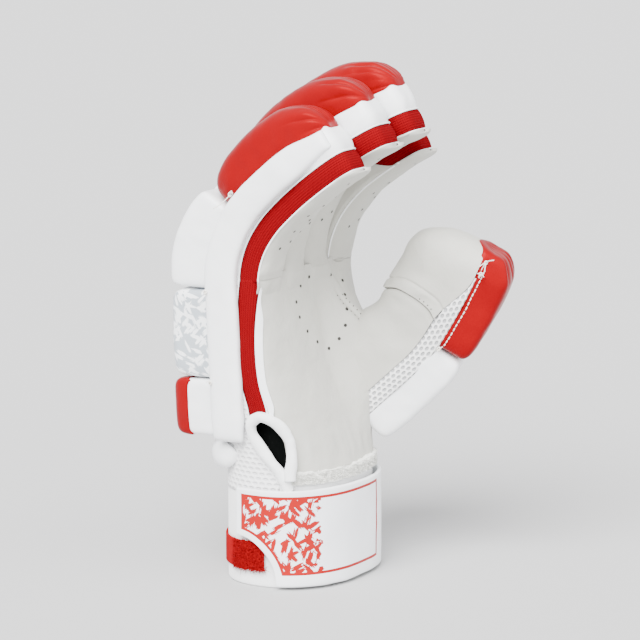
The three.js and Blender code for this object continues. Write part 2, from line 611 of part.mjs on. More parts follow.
// Rolled binding round the slit at the little-finger side of the wrist. Places are shares up the hand and
// distances from the little-finger edge, as shares of KNIT_HALF, palmwards.
const BINDING_ROUTE = [
  { up: -0.035, out: 2.85 },
  { up: 0.05, out: 1.7 },
  { up: 0.12, out: 0.55 },
  { up: 0.195, out: -0.45 },
  { up: 0.255, out: -0.5 },
  { up: 0.285, out: 0.35 },
  { up: 0.26, out: 1.35 },
  { up: 0.19, out: 2.25 },
  { up: 0.08, out: 2.85 },
  { up: 0.015, out: 3.15 },
];
const onHand = (up, out, inset) => {
  const section = { ...handSection(Math.max(up, 0)), z: lerp(WRIST_Z, ROOT_Z, up) };
  return sectionPoint(section, turnAt(section, out * KNIT_HALF), inset);
};
const bindingLine = new THREE.CatmullRomCurve3(BINDING_ROUTE.map(({ up, out }) => onHand(up, out, 0)));
const bindingOut = new THREE.CatmullRomCurve3(BINDING_ROUTE.map(({ up, out }) => onHand(up, out, -10)));
const bindingRings = steps(0, 1, 18).map((t) => {
  const place = bindingLine.getPoint(t);
  const out = bindingOut.getPoint(t).sub(place).normalize();
  const across = new THREE.Vector3().crossVectors(bindingLine.getTangent(t), out).normalize();
  const stand = HAND_CLEARANCE + 0.1 + BINDING_CROSSING * Math.max(0, 1 - t / 0.3);
  return steps(0, 2 * Math.PI, 6).slice(1).map((angle) => {
    const { x, y } = corner(angle, 2.5);
    const height = stand + (BINDING_WALL / 2) * (1 + y);
    return place.clone().addScaledVector(across, (BINDING_WIDTH / 2) * x).addScaledVector(out, height);
  });
});
piece('slit_binding', 'white', loft(bindingRings).subtract(handAround));

// The origin is the middle of the glove's box, on the surface that the cuff stands on.
const box = new THREE.Box3().setFromObject(glove);
const middle = box.getCenter(new THREE.Vector3());
glove.position.set(-middle.x, -middle.y, -box.min.z);

export default glove;
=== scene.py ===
# %% [markdown]
# # A cricket batting glove
# A batting glove is sewn from flat pieces round foam: soft leather where the hand holds the bat, and
# thick pads where the ball can hit. This lesson dresses its plain solids, one kind of piece after
# another. Every piece is a mesh made by code, because each follows the same bent fingers and the same
# oval wrist.

import math

import bmesh
import bpy
import numpy as np
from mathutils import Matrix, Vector


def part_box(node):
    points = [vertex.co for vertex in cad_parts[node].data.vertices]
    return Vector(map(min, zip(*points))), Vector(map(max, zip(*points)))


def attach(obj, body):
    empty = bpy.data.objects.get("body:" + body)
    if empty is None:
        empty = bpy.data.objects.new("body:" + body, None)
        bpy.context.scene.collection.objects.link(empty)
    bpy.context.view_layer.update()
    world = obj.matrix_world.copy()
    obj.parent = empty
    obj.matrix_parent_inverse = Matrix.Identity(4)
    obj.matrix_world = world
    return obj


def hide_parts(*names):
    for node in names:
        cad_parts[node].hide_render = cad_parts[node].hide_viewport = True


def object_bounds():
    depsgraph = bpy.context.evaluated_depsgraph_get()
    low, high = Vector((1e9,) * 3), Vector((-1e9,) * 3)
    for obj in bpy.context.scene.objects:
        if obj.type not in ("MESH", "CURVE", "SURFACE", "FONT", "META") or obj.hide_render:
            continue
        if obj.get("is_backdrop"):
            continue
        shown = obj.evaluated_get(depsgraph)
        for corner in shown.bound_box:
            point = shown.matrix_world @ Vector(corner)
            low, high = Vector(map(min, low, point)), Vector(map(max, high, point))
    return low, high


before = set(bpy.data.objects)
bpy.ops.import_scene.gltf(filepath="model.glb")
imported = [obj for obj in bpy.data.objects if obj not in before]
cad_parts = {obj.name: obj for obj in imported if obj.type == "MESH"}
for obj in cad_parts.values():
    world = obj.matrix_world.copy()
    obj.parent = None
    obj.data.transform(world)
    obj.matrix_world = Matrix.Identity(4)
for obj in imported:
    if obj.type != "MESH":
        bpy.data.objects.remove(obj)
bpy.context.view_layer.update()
MM = 0.001

# %% [markdown]
# ## Where things are
# The plain model was drawn round the middle of its wrist, in millimetres. Its cuff tells how far it was
# moved since, so that everything below can use the drawing's own numbers.

# %% Sizes of the drawing
GAP = 0.35
CUFF_WIDTH, CUFF_DEPTH, CUFF_HEIGHT, CUFF_WALL, CUFF_BACK = 90.0, 67.0, 56.0, 3.0, 1.5
TERRY_HEIGHT, PALM_HEIGHT, HAND_DEPTH = 5.5, 102.0, 27.0
PALM_TO_KNIT, KNIT_HALF, KNIT_BACK = 8.2, 5.6, 3.5
WRIST_Z = CUFF_HEIGHT + GAP + TERRY_HEIGHT
ROOT_Z = WRIST_Z + PALM_HEIGHT
PALM_Y = KNIT_BACK - PALM_TO_KNIT
cuff_low, cuff_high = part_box("cuff_band")
cuff_middle = np.array((cuff_low + cuff_high) / 2) / MM
SHIFT = np.array([cuff_middle[0], cuff_middle[1] - CUFF_BACK, 0.0])
print("drawing moved by, mm:", SHIFT.round(2))

# %% [markdown]
# ## Tables and bent lines
# A table with a few rows gives a form at a few places, and a smooth curve through the rows gives the
# rest. A finger is a bent line with a frame along it: s runs along, a across, and b towards the back of
# the hand. A piece drawn straight in s, a and b is then bent with the finger, which is easier than
# modelling it bent.

# %% Read a table smoothly
def smooth(rows, values, at):
    """The values between the rows of a table, on a curve without corners."""
    rows, values = np.asarray(rows, float), np.asarray(values, float)
    at = np.clip(at, rows[0], rows[-1])
    slope = np.gradient(values, rows)
    i = np.clip(np.searchsorted(rows, at) - 1, 0, len(rows) - 2)
    wide = rows[i + 1] - rows[i]
    t = (at - rows[i]) / wide
    start, end = 2 * t**3 - 3 * t**2 + 1, 3 * t**2 - 2 * t**3
    bend = (t**3 - 2 * t**2 + t) * slope[i] + (t**3 - t**2) * slope[i + 1]
    return start * values[i] + end * values[i + 1] + bend * wide


def ease(low, high, at):
    """A soft step from 0 at low to 1 at high. It falls where low is the larger one."""
    t = np.clip((np.asarray(at, float) - low) / (high - low), 0, 1)
    return t * t * (3 - 2 * t)


# %% A bent line
class Limb:
    """A bent line with a frame along it, between two ends in millimetres from its start."""

    def __init__(self, start, along_at, back_at, first, last):
        s = np.arange(first, last + 1.0)
        along = along_at(s)
        along /= np.linalg.norm(along, axis=1, keepdims=True)
        back = back_at(s) - along * (back_at(s) * along).sum(1, keepdims=True)
        self.back = back / np.linalg.norm(back, axis=1, keepdims=True)
        self.across = np.cross(self.back, along)
        steps = np.vstack([np.zeros(3), np.cumsum(along, 0)[:-1]])
        self.place = steps - steps[-first] + start
        self.first = first

    def at(self, s, a, b):
        """Places at s along, a across and b towards the back."""
        s, a, b = np.broadcast_arrays(*(np.asarray(v, float) for v in (s, a, b)))
        i = np.clip(np.floor(s - self.first).astype(int), 0, len(self.place) - 2)
        t = (s - self.first - i)[..., None]
        place, across, back = (r[i] * (1 - t) + r[i + 1] * t for r in (self.place, self.across, self.back))
        return place + across * a[..., None] + back * b[..., None]


# %% The four fingers
FINGER_GAP = 0.8
FINGERS = {  # width, length, lift from the palm, drift sideways, how far it is an inner finger, curl
    "little": (23.03, 89.27, 0.0, -0.008, 0.0, 0.97),
    "ring": (24.5, 105.09, 0.1, -0.003, 0.6, 0.97),
    "middle": (24.5, 113.0, 0.14, 0.003, 1.0, 0.97),
    "index": (24.5, 90.97, 0.05, 0.008, 0.5, 0.95),
}
BEND_AT = (0, 0.11, 0.24, 0.42, 0.65, 1)
OUTER_LEAN, INNER_LEAN = (5, 17, 32, 46, 53, 58), (4, 10, 22, 38, 60, 66)


def bent_finger(root_x, length, lift, drift, inner, curl):
    """The line of a finger, carried on nearly straight down the hand."""
    def lean(s):
        share = np.clip(s / length, 0, 1)
        outer_lean, inner_lean = (np.interp(share, BEND_AT, row) for row in (OUTER_LEAN, INNER_LEAN))
        bend = (outer_lean + (inner_lean - outer_lean) * inner) * curl
        return np.radians(np.where(s <= 0, -2.0, bend))

    def along(s):
        sway = np.where(s > 0, drift, root_x / PALM_HEIGHT * 0.08)
        return np.stack([sway, -np.sin(lean(s)), np.cos(lean(s))], 1)

    start = np.array([root_x, KNIT_BACK + lift * HAND_DEPTH, ROOT_Z])
    back = lambda s: np.stack([0 * s, np.cos(lean(s)), np.sin(lean(s))], 1)
    return Limb(start, along, back, -102, math.ceil(length) + 8)


fingers = {}
reached = -(sum(row[0] for row in FINGERS.values()) + 3 * FINGER_GAP) / 2
KNUCKLE_HALF = -reached
for name, (width, length, *bend) in FINGERS.items():
    finger = bent_finger(reached + width / 2, length, *bend)
    finger.name, finger.length, finger.half = name, length, width / 2
    fingers[name] = finger
    reached += width + FINGER_GAP
little = fingers["little"]
print("finger lengths, mm:", {name: finger.length for name, finger in fingers.items()})

# %% [markdown]
# ## The hand's sections
# Cut across, the hand changes from the wrist's oval to the flat form of the knuckles. A superellipse
# does both: a power of 2 is an oval, and a high power is nearly a rectangle. A turn of 0 is the
# little-finger edge, 0.25 the palm, 0.5 the thumb edge and 0.75 the back.

# %% A section at any height
HAND_UP = (0, 0.16, 0.31, 0.47, 0.67, 0.86, 1)
HAND = {
    "mix": (0, 0.2, 0.43, 0.68, 0.86, 0.96, 1),
    "swell": (0, 0.005, 0.02, 0.03, 0.03, 0.02, 0),
    "ulnar": (0, -0.09, -0.11, 0.02, 0.07, 0.04, 0),
    "thumb": (-0.06, -0.22, -0.36, -0.36, -0.28, -0.12, 0),
    "palm": (0, 0, 0, 0, 0.01, 0.04, 0.05),
    "mound": (0, 0.1, 0.34, 0.55, 0.55, 0.22, 0),
    "square": (2.3, 2.5, 2.8, 3.2, 3.7, 4.2, 5),
}


def hand_section(up):
    """The hand's section at a height, where 0 is the wrist and 1 the finger roots."""
    up = np.asarray(up, float)
    row = {key: smooth(HAND_UP, values, up) for key, values in HAND.items()}
    between = lambda low, high: low + (high - low) * row["mix"]
    middle = between(CUFF_BACK, KNIT_BACK)
    return {
        "z": WRIST_Z + PALM_HEIGHT * up,
        "half": between(CUFF_WIDTH / 2, KNUCKLE_HALF) * (1 + row["swell"]),
        "ulnar": middle + row["ulnar"] * HAND_DEPTH,
        "thumb": middle + row["thumb"] * HAND_DEPTH,
        "palm": between(CUFF_BACK - CUFF_DEPTH / 2, PALM_Y) + row["palm"] * HAND_DEPTH,
        "back": between(CUFF_BACK + CUFF_DEPTH / 2, PALM_Y + HAND_DEPTH),
        "mound": row["mound"] * HAND_DEPTH,
        "power": row["square"],
    }


def corner(angle, power):
    """A point of a superellipse with half-widths of 1."""
    c, s = np.abs(np.cos(angle)), np.abs(np.sin(angle))
    radius = (c**power + s**power) ** (-1 / power)
    return radius * np.cos(angle), radius * np.sin(angle)


def on_section(section, turn, out=0.0):
    """Places on a section, moved outwards by out."""
    x, y = corner(np.asarray(turn, float) * 2 * math.pi, section["power"])
    edge = np.where(x > 0, section["ulnar"], section["thumb"])
    middle = (section["palm"] + section["back"]) / 2
    edge = middle + (edge - middle) * np.abs(x)
    reach = np.where(y > 0, edge - section["palm"], section["back"] - edge)
    across = np.clip((-x - 0.1) / 0.95, 0, 1)
    mound = np.where(y > 0, section["mound"] * np.sin(math.pi * across) ** 2, 0)
    rows = (-x * (section["half"] + out), edge - mound - y * (reach + out), section["z"] + 0 * x)
    return np.stack(np.broadcast_arrays(*rows), -1)


def turn_at(section, distance, edge="ulnar"):
    """The turn that lies a distance round from the little-finger edge, towards the palm."""
    distance = np.asarray(distance, float)
    reach = np.where(distance > 0, section[edge] - section["palm"], section["back"] - section[edge])
    share = np.minimum(np.abs(distance) / reach, 0.98) ** section["power"]
    return np.sign(distance) * np.arctan((share / (1 - share)) ** (1 / section["power"])) / (2 * math.pi)


print("hand at mid height, mm wide:", round(2 * float(hand_section(0.5)["half"]), 1))

# %% [markdown]
# ## Soft leather is never even
# A smooth random field moves points by a part of a millimetre, so that a stuffed surface catches the
# light unevenly. It is value noise: random heights on a grid, blended smoothly, from a fixed sum of
# whole numbers, so that each run gives the same glove.

# %% Random unevenness
def lumps(points, size, seed=0):
    """A smooth height from -1 to 1, with lumps of a size in millimetres."""
    place = np.asarray(points, float) / size + 31.7 * (seed + 1)
    cell = np.floor(place).astype(np.int64)
    t = place - cell
    t = t * t * (3 - 2 * t)
    total = np.zeros(len(place))
    for dx in (0, 1):
        for dy in (0, 1):
            for dz in (0, 1):
                x, y, z = (cell + (dx, dy, dz)).T
                mixed = (x * 73856093) ^ (y * 19349663) ^ (z * 83492791)
                mixed = (mixed ^ (mixed >> 13)) * 1274126177 & 0x7FFFFFFF
                height = (mixed ^ (mixed >> 16)) % 10007 / 5003.5 - 1
                share = np.where(dx, t[:, 0], 1 - t[:, 0]) * np.where(dy, t[:, 1], 1 - t[:, 1])
                total += height * share * np.where(dz, t[:, 2], 1 - t[:, 2])
    return total


# %% Lines on a surface
def resample(path, step):
    """The same line with even steps."""
    path = np.asarray(path, float)
    travelled = np.concatenate([[0], np.cumsum(np.linalg.norm(np.diff(path, axis=0), axis=1))])
    count = max(2, int(round(travelled[-1] / step)) + 1)
    even = np.linspace(0, travelled[-1], count)
    return np.stack([np.interp(even, travelled, column) for column in path.T], 1)


# %% [markdown]
# ## Meshes
# Two kinds of mesh are enough for a glove. A grid of points is a sheet of leather or cloth, with
# coordinates in millimetres on it that weaves and prints can follow. A dome is a half-high box that is
# rounded at its edges, and is what foam under tight leather looks like.

# %% Grids and domes
def grid(rows, columns, closed=False):
    """Quads over a grid of points, with the row and column of each corner."""
    last = columns if closed else columns - 1
    i, j = np.meshgrid(np.arange(rows - 1), np.arange(last), indexing="ij")
    row = np.stack([i, i, i + 1, i + 1], -1).reshape(-1, 4)
    column = np.stack([j, j + 1, j + 1, j], -1).reshape(-1, 4)
    column %= columns
    return row * columns + column, row, column


def tube_faces(rings, sides):
    """Quads round a row of rings, and a face on each end."""
    around = grid(rings, sides, closed=True)[0].tolist()
    return [*around, list(range(sides)), list(range((rings - 1) * sides, rings * sides))]


def dome(along, across, high):
    """The six sides of a half-high box, welded: u and v run from -1 to 1, and w from 0 to 1."""
    u, v, w = np.linspace(-1, 1, along + 1), np.linspace(-1, 1, across + 1), np.linspace(0, 1, high + 1)
    points, faces, count = [], [], 0
    for axis, pair, level in (
        (0, (v, w), -1), (0, (v, w), 1), (1, (u, w), -1), (1, (u, w), 1), (2, (u, v), 0), (2, (u, v), 1)
    ):
        first, second = np.meshgrid(*pair, indexing="ij")
        side = np.insert(np.stack([first, second], -1).reshape(-1, 2), axis, level, axis=1)
        faces.append(grid(*first.shape)[0] + count)
        points.append(side)
        count += len(side)
    welded, where = np.unique(np.round(np.vstack(points), 6), axis=0, return_inverse=True)
    return welded, where.reshape(-1)[np.vstack(faces)]


def rounded(points, power):
    """Rounds a dome's edges: a low power is nearly a ball, and a high one nearly a box."""
    largest = np.abs(points).max(1)
    size = (np.abs(points) ** power).sum(1) ** (1 / power)
    return points * (largest / np.maximum(size, 1e-9))[:, None]


# %% Show a piece
def show(name, points, faces, finish, stands_for=(), cloth=None, inside=None):
    """Makes one piece from points in the drawing's millimetres and hands it to the frame.

    An open sheet has no inside of its own, so inside gives a place behind each of its points.
    """
    mesh = bpy.data.meshes.new(name)
    points = (np.asarray(points, float).reshape(-1, 3) + SHIFT) * MM
    mesh.from_pydata(points.tolist(), [], [list(face) for face in faces])
    if cloth is not None:
        mesh.uv_layers.new(name="cloth").data.foreach_set("uv", np.asarray(cloth, float).ravel())
    mesh.polygons.foreach_set("use_smooth", [True] * len(mesh.polygons))
    shell = bmesh.new()
    shell.from_mesh(mesh)
    bmesh.ops.recalc_face_normals(shell, faces=shell.faces)
    shell.to_mesh(mesh)
    shell.free()
    if inside is not None:
        behind = (np.asarray(inside, float).reshape(-1, 3) + SHIFT) * MM
        normals = np.array([vertex.normal for vertex in mesh.vertices])
        if (normals * (points - behind)).sum() < 0:
            mesh.flip_normals()
    mesh.materials.append(finish)
    piece = bpy.data.objects.new(name, mesh)
    bpy.context.scene.collection.objects.link(piece)
    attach(piece, "root")
    if stands_for:
        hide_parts(*stands_for)
    return piece


def sculpt(piece, height_at):
    """Moves each point along its normal by the millimetres that height_at gives for the points."""
    mesh = piece.data
    points, normals = np.empty(len(mesh.vertices) * 3), np.empty(len(mesh.vertices) * 3)
    mesh.vertices.foreach_get("co", points)
    mesh.vertex_normals.foreach_get("vector", normals)
    heights = height_at(points.reshape(-1, 3) / MM - SHIFT)
    mesh.vertices.foreach_set("co", points + normals * np.repeat(heights, 3) * MM)
    mesh.update()


def thicken(piece, thick):
    """Gives a sheet its thickness, in millimetres, on its inner side."""
    piece.modifiers.new("thickness", "SOLIDIFY").thickness = thick * MM


def touch(piece, points, lift=0.0):
    """The nearest places on a piece and the direction that its surface faces there."""
    bpy.context.view_layer.update()
    found = [piece.closest_point_on_mesh(Vector((point + SHIFT) * MM)) for point in points]
    facing = np.array([hit[2] for hit in found])
    return np.array([hit[1] for hit in found]) / MM - SHIFT + facing * lift, facing


# %% [markdown]
# ## Finishes
# A finish starts from what the real surface is. Coated leather is a thin, smooth skin of polyurethane
# with an embossed grain; the palm is soft leather with open pores; the rest are knits and meshes.
# Colours are written as they would be in a picture editor, and one function turns them into the linear
# light that a renderer adds up.

# %% Colour and nodes
def colour(code):
    """A picture editor's colour as linear light."""
    parts = [int(code[i : i + 2], 16) / 255 for i in (1, 3, 5)]
    return (*(c / 12.92 if c <= 0.04045 else ((c + 0.055) / 1.055) ** 2.4 for c in parts), 1.0)


def add(tree, kind, inputs=(), **settings):
    """Adds one node, with its settings, and with its inputs set or linked."""
    made = tree.nodes.new("ShaderNode" + kind)
    for key, value in settings.items():
        setattr(made, key, value)
    for socket, value in dict(inputs).items():
        if isinstance(value, bpy.types.NodeSocket):
            tree.links.new(value, made.inputs[socket])
        else:
            made.inputs[socket].default_value = value
    return made


def calc(tree, operation, *values):
    """One step of arithmetic between numbers and sockets."""
    return add(tree, "Math", dict(enumerate(values)), operation=operation).outputs[0]


def blend(tree, factor, first, second):
    """A colour between two others."""
    return add(tree, "Mix", {0: factor, 6: first, 7: second}, data_type="RGBA").outputs[2]


def new_finish(name, roughness, sheen=0.0):
    """A material with its shader, ready for a colour and a bump."""
    finish = bpy.data.materials.new(name)
    finish.use_nodes = True
    shader = finish.node_tree.nodes["Principled BSDF"]
    shader.inputs["Roughness"].default_value = roughness
    shader.inputs["IOR"].default_value = 1.5
    shader.inputs["Sheen Weight"].default_value = sheen
    shader.inputs["Sheen Roughness"].default_value = 0.5
    return finish, finish.node_tree, shader


# %% [markdown]
# ### Coated leather
# The skin is polyurethane, IOR about 1.5, a little glossy. Its grain is embossed at about 0.7 mm, which
# is close to one pixel here, so it is drawn at 0.9 mm and low. A slow drift of the tone keeps a large
# pad from looking like paint. The same recipe gives white, red and grey.

# %% Coated leather
def coated_leather(name, base, shade, roughness=0.42):
    """Coated leather, with its nodes and tone so that a print can follow."""
    finish, tree, shader = new_finish(name, roughness)
    where = add(tree, "TexCoord").outputs["Object"]
    drift = add(tree, "TexNoise", {"Vector": where, "Scale": 28.0, "Detail": 3.0, "Roughness": 0.6})
    tone = blend(tree, drift.outputs["Fac"], colour(base), colour(shade))
    grain = add(tree, "TexVoronoi", {"Vector": where, "Scale": 1100.0}, feature="DISTANCE_TO_EDGE")
    creases = add(tree, "TexNoise", {"Vector": where, "Scale": 160.0, "Detail": 4.0, "Distortion": 0.6})
    fine = add(tree, "Bump", {"Height": grain.outputs["Distance"], "Strength": 0.12, "Distance": 0.0004})
    broad = add(
        tree, "Bump",
        {
            "Height": creases.outputs["Fac"], "Strength": 0.16, "Distance": 0.0012,
            "Normal": fine.outputs["Normal"]
        }
    )
    tree.links.new(tone, shader.inputs["Base Color"])
    tree.links.new(broad.outputs["Normal"], shader.inputs["Normal"])
    shader.inputs["Coat Weight"].default_value = 0.12
    shader.inputs["Coat Roughness"].default_value = 0.35
    return finish, tree, shader, tone


white_leather = coated_leather("white_coated_leather", "#F4F5F6", "#E9EBED")[0]
red_leather, tree, shader, tone = coated_leather("red_coated_leather", "#84040C", "#72030A", 0.3)
shader.inputs["Specular IOR Level"].default_value = 0.24
shader.inputs["Specular Tint"].default_value = colour("#FF5A5A")
shader.inputs["Coat Weight"].default_value = 0.0

# %% [markdown]
# ### Palm leather
# The palm is soft, dull leather, a warm off-white, so that it grips. It has fine pores and shallow
# crow's-feet where the hand folds it.

# %% Palm leather
palm_leather, tree, shader = new_finish("soft_palm_leather", 0.62, sheen=0.15)
where = add(tree, "TexCoord").outputs["Object"]
drift = add(tree, "TexNoise", {"Vector": where, "Scale": 22.0, "Detail": 4.0, "Roughness": 0.6})
tone = blend(tree, drift.outputs["Fac"], colour("#BEBDB5"), colour("#AFAEA6"))
pores = add(tree, "TexVoronoi", {"Vector": where, "Scale": 900.0}, feature="F1")
folds = add(tree, "TexNoise", {"Vector": where, "Scale": 110.0, "Detail": 5.0, "Distortion": 1.2})
fine = add(tree, "Bump", {"Height": pores.outputs["Distance"], "Strength": 0.12, "Distance": 0.0003})
broad = add(
    tree, "Bump",
    {"Height": folds.outputs["Fac"], "Strength": 0.22, "Distance": 0.0016, "Normal": fine.outputs["Normal"]}
)
tree.links.new(tone, shader.inputs["Base Color"])
tree.links.new(broad.outputs["Normal"], shader.inputs["Normal"])

# %% [markdown]
# ### Knit and mesh
# The knit is a red rib: columns of small V-shaped loops, here 1.3 mm wide, twice the real size, because
# the real ones would be finer than a pixel; its grooves are painted darker, as painted shade. The meshes
# are white polyester with rows of staggered holes, 3.7 mm apart on the thumb and 4.2 mm on the wrist,
# where they are only pressed in, and their holes are painted darker, as painted shade. All three follow
# the millimetres on the cloth.

# %% Red rib knit
RIB, LOOP = 1.3, 0.95
red_knit, tree, shader = new_finish("red_rib_knit", 0.9)
shader.inputs["Specular IOR Level"].default_value = 0.05
split = add(tree, "SeparateXYZ", {0: add(tree, "UVMap", uv_map="cloth").outputs[0]})
across, along = split.outputs["Y"], split.outputs["X"]
column = calc(tree, "DIVIDE", across, RIB)
side = calc(tree, "SUBTRACT", calc(tree, "FRACT", column), 0.5)
slant = calc(tree, "ABSOLUTE", side)
loop = calc(tree, "MULTIPLY_ADD", slant, 1.6, calc(tree, "DIVIDE", along, LOOP))
stitch = calc(tree, "SINE", calc(tree, "MULTIPLY", loop, 2 * math.pi))
rib = calc(tree, "MULTIPLY_ADD", slant, -1.1, 0.6)
height = calc(tree, "MULTIPLY_ADD", stitch, 0.36, rib)
# The rib's low places take the darker red: painted shade in the grooves between the loops.
shade = add(
    tree, "MapRange", {"Value": height, "From Min": -0.2, "From Max": 0.9, "To Min": 0.0, "To Max": 1.0}
).outputs[0]
tone = blend(tree, shade, colour("#520007"), colour("#86000B"))
bump = add(tree, "Bump", {"Height": height, "Strength": 0.7, "Distance": 0.0005})
tree.links.new(tone, shader.inputs["Base Color"])
tree.links.new(bump.outputs["Normal"], shader.inputs["Normal"])


# %% White mesh
def mesh_cloth(name, pitch, row, hole, base, inside, depth):
    """Staggered oval holes with painted shade in them: pitch apart along a row, and row apart from row to
    row, in millimetres.
    """
    finish, tree, shader = new_finish(name, 0.8, sheen=0.2)
    split = add(tree, "SeparateXYZ", {0: add(tree, "UVMap", uv_map="cloth").outputs[0]})
    line = calc(tree, "DIVIDE", split.outputs["Y"], row)
    number = calc(tree, "FLOOR", line)
    count = calc(tree, "DIVIDE", split.outputs["X"], pitch)
    moved = calc(tree, "MULTIPLY_ADD", number, 0.5, count)
    parts = []
    for value in (moved, line):
        inner = calc(tree, "FRACT", value)
        off = calc(tree, "SUBTRACT", inner, 0.5)
        parts.append(calc(tree, "POWER", off, 2.0))
    far = calc(tree, "ADD", parts[0], parts[1])
    radius = calc(tree, "SQRT", far)
    cloth = add(
        tree, "MapRange", {"Value": radius, "From Min": hole - 0.12, "From Max": hole + 0.1}
    ).outputs[0]
    # The holes take the darker inside colour: painted shade in them, under the bump.
    tone = blend(tree, cloth, colour(inside), colour(base))
    bump = add(tree, "Bump", {"Height": cloth, "Strength": 0.8, "Distance": depth})
    tree.links.new(tone, shader.inputs["Base Color"])
    tree.links.new(bump.outputs["Normal"], shader.inputs["Normal"])
    return finish


# The second colour of each mesh is the painted shade in its holes.
thumb_mesh = mesh_cloth("coarse_white_mesh", 3.7, 2.4, 0.33, "#EFEFEE", "#A9AAAC", 0.0012)
wrist_mesh = mesh_cloth("pressed_white_mesh", 4.2, 2.6, 0.34, "#EDEDED", "#E0DFE1", 0.0007)

# %% [markdown]
# ### Prints
# The grey pads and the strap carry a printed pattern of loose dashes. It is a plain confetti: cells of
# a stretched Voronoi texture, each filled or left bare by its own random number, in three directions on
# top of each other.

# %% A confetti of dashes
def dashes(tree, vector, along, across, filled):
    """A mask of slanted, scratched dashes: their size in millimetres, and the share that is filled."""
    mask = None
    for angle, seed in ((0.5, 0.0), (-0.8, 40.0), (1.3, 80.0)):
        turned = add(
            tree, "Mapping",
            {
                "Vector": vector, "Location": (seed, seed, 0), "Rotation": (0, 0, angle),
                "Scale": (along, across, 1)
            },
            vector_type="TEXTURE"
        )
        cells = add(
            tree, "TexVoronoi", {"Vector": turned.outputs[0], "Scale": 1.0, "Randomness": 0.9},
            voronoi_dimensions="2D"
        )
        chance = add(tree, "SeparateColor", {0: cells.outputs["Color"]}).outputs[0]
        chosen = calc(tree, "LESS_THAN", chance, filled)
        fine = add(tree, "Mapping", {"Vector": turned.outputs[0], "Scale": (0.7, 4.5, 1)})
        scratch = add(
            tree, "TexNoise", {"Vector": fine.outputs[0], "Scale": 1.0, "Detail": 3.0}
        ).outputs["Fac"]
        edge = calc(tree, "MULTIPLY_ADD", scratch, 1.1, cells.outputs["Distance"])
        inside = calc(tree, "LESS_THAN", edge, 0.93)
        one = calc(tree, "MULTIPLY", chosen, inside)
        mask = one if mask is None else calc(tree, "MAXIMUM", mask, one)
    return mask


printed_leather, tree, shader, tone = coated_leather("grey_printed_leather", "#ADB4BA", "#A2AAB1")
# The print runs up the pad and on round its corner, from the side to the back, in millimetres.
x, y, z = add(tree, "SeparateXYZ", {0: add(tree, "TexCoord").outputs["Object"]}).outputs
around = calc(tree, "ADD", x, y)
placed = add(
    tree, "VectorMath", {0: add(tree, "CombineXYZ", {0: z, 1: around}).outputs[0], "Scale": 1000.0},
    operation="SCALE"
)
white_dash = dashes(tree, placed.outputs[0], along=8.0, across=2.8, filled=0.5)
printed = blend(tree, white_dash, tone, colour("#F1F2F3"))
tree.links.new(printed, shader.inputs["Base Color"])

# %% [markdown]
# ### The strap's print
# The strap is white coated leather. Its panel is framed by a thin red line that follows the strap's own
# outline, scooped corner included, so the line is drawn from the distance to that outline. The dashes
# fill the first part of the panel and the rest stays plain.

# %% Strap sizes
STRAP_HEIGHT, STRAP_WALL, STRAP_FOOT, STRAP_NOTCH = 49.0, 2.6, 1.6, 26.0
PATCH_WALL, PATCH_HEIGHT, PATCH_FOOT = 1.5, 15.0, 9.0
STRAP_FREE, STRAP_SEWN = -0.045, 0.66
STRAP_INSIDE = PATCH_WALL + 2 * GAP
girth = math.pi / 2 * (CUFF_WIDTH + CUFF_DEPTH + 4 * STRAP_INSIDE)
PANEL_LEFT, PANEL_RIGHT, PANEL_LOW, PANEL_HIGH = 4.5, 91.0, 9.0, 49.5
PANEL_SCOOP, PRINT_END, PRINT_FADE, FRAME_LINE = 30.5, 56.0, 16.0, 0.75

# %% Strap print
strap_print, tree, shader, tone = coated_leather("printed_strap_leather", "#F2F4F6", "#E8EBEE")
cloth = add(tree, "UVMap", uv_map="cloth").outputs[0]
split = add(tree, "SeparateXYZ", {0: cloth})
x, z = split.outputs["X"], split.outputs["Y"]
sides = [
    calc(tree, "SUBTRACT", x, PANEL_LEFT),
    calc(tree, "SUBTRACT", PANEL_RIGHT, x),
    calc(tree, "SUBTRACT", z, PANEL_LOW),
    calc(tree, "SUBTRACT", PANEL_HIGH, z),
]
from_corner = add(tree, "CombineXYZ", {0: x, 1: calc(tree, "SUBTRACT", z, STRAP_FOOT)})
radius = add(tree, "VectorMath", {0: from_corner.outputs[0]}, operation="LENGTH").outputs["Value"]
inside = calc(tree, "SUBTRACT", radius, PANEL_SCOOP)
for side in sides:
    inside = calc(tree, "MINIMUM", inside, side)
on_line = calc(tree, "LESS_THAN", calc(tree, "ABSOLUTE", inside), FRAME_LINE)
within = calc(tree, "GREATER_THAN", inside, 0.0)
fading = add(
    tree, "MapRange",
    {"Value": x, "From Min": PRINT_END - PRINT_FADE, "From Max": PRINT_END, "To Min": 1.0, "To Max": 0.0}
).outputs[0]
ragged = add(tree, "TexNoise", {"Vector": cloth, "Scale": 0.22, "Detail": 4.0}).outputs["Fac"]
kept = calc(tree, "LESS_THAN", ragged, fading)
dash = calc(tree, "MULTIPLY", dashes(tree, cloth, along=9.0, across=3.4, filled=0.6), kept)
dash = calc(tree, "MULTIPLY", dash, within)
red = calc(tree, "MAXIMUM", dash, on_line)
panel = blend(tree, within, tone, colour("#EDEFF3"))
shader.inputs["Specular IOR Level"].default_value = 0.25
shader.inputs["Coat Weight"].default_value = 0.0
printed = blend(tree, red, panel, colour("#9C0704"))
tree.links.new(printed, shader.inputs["Base Color"])
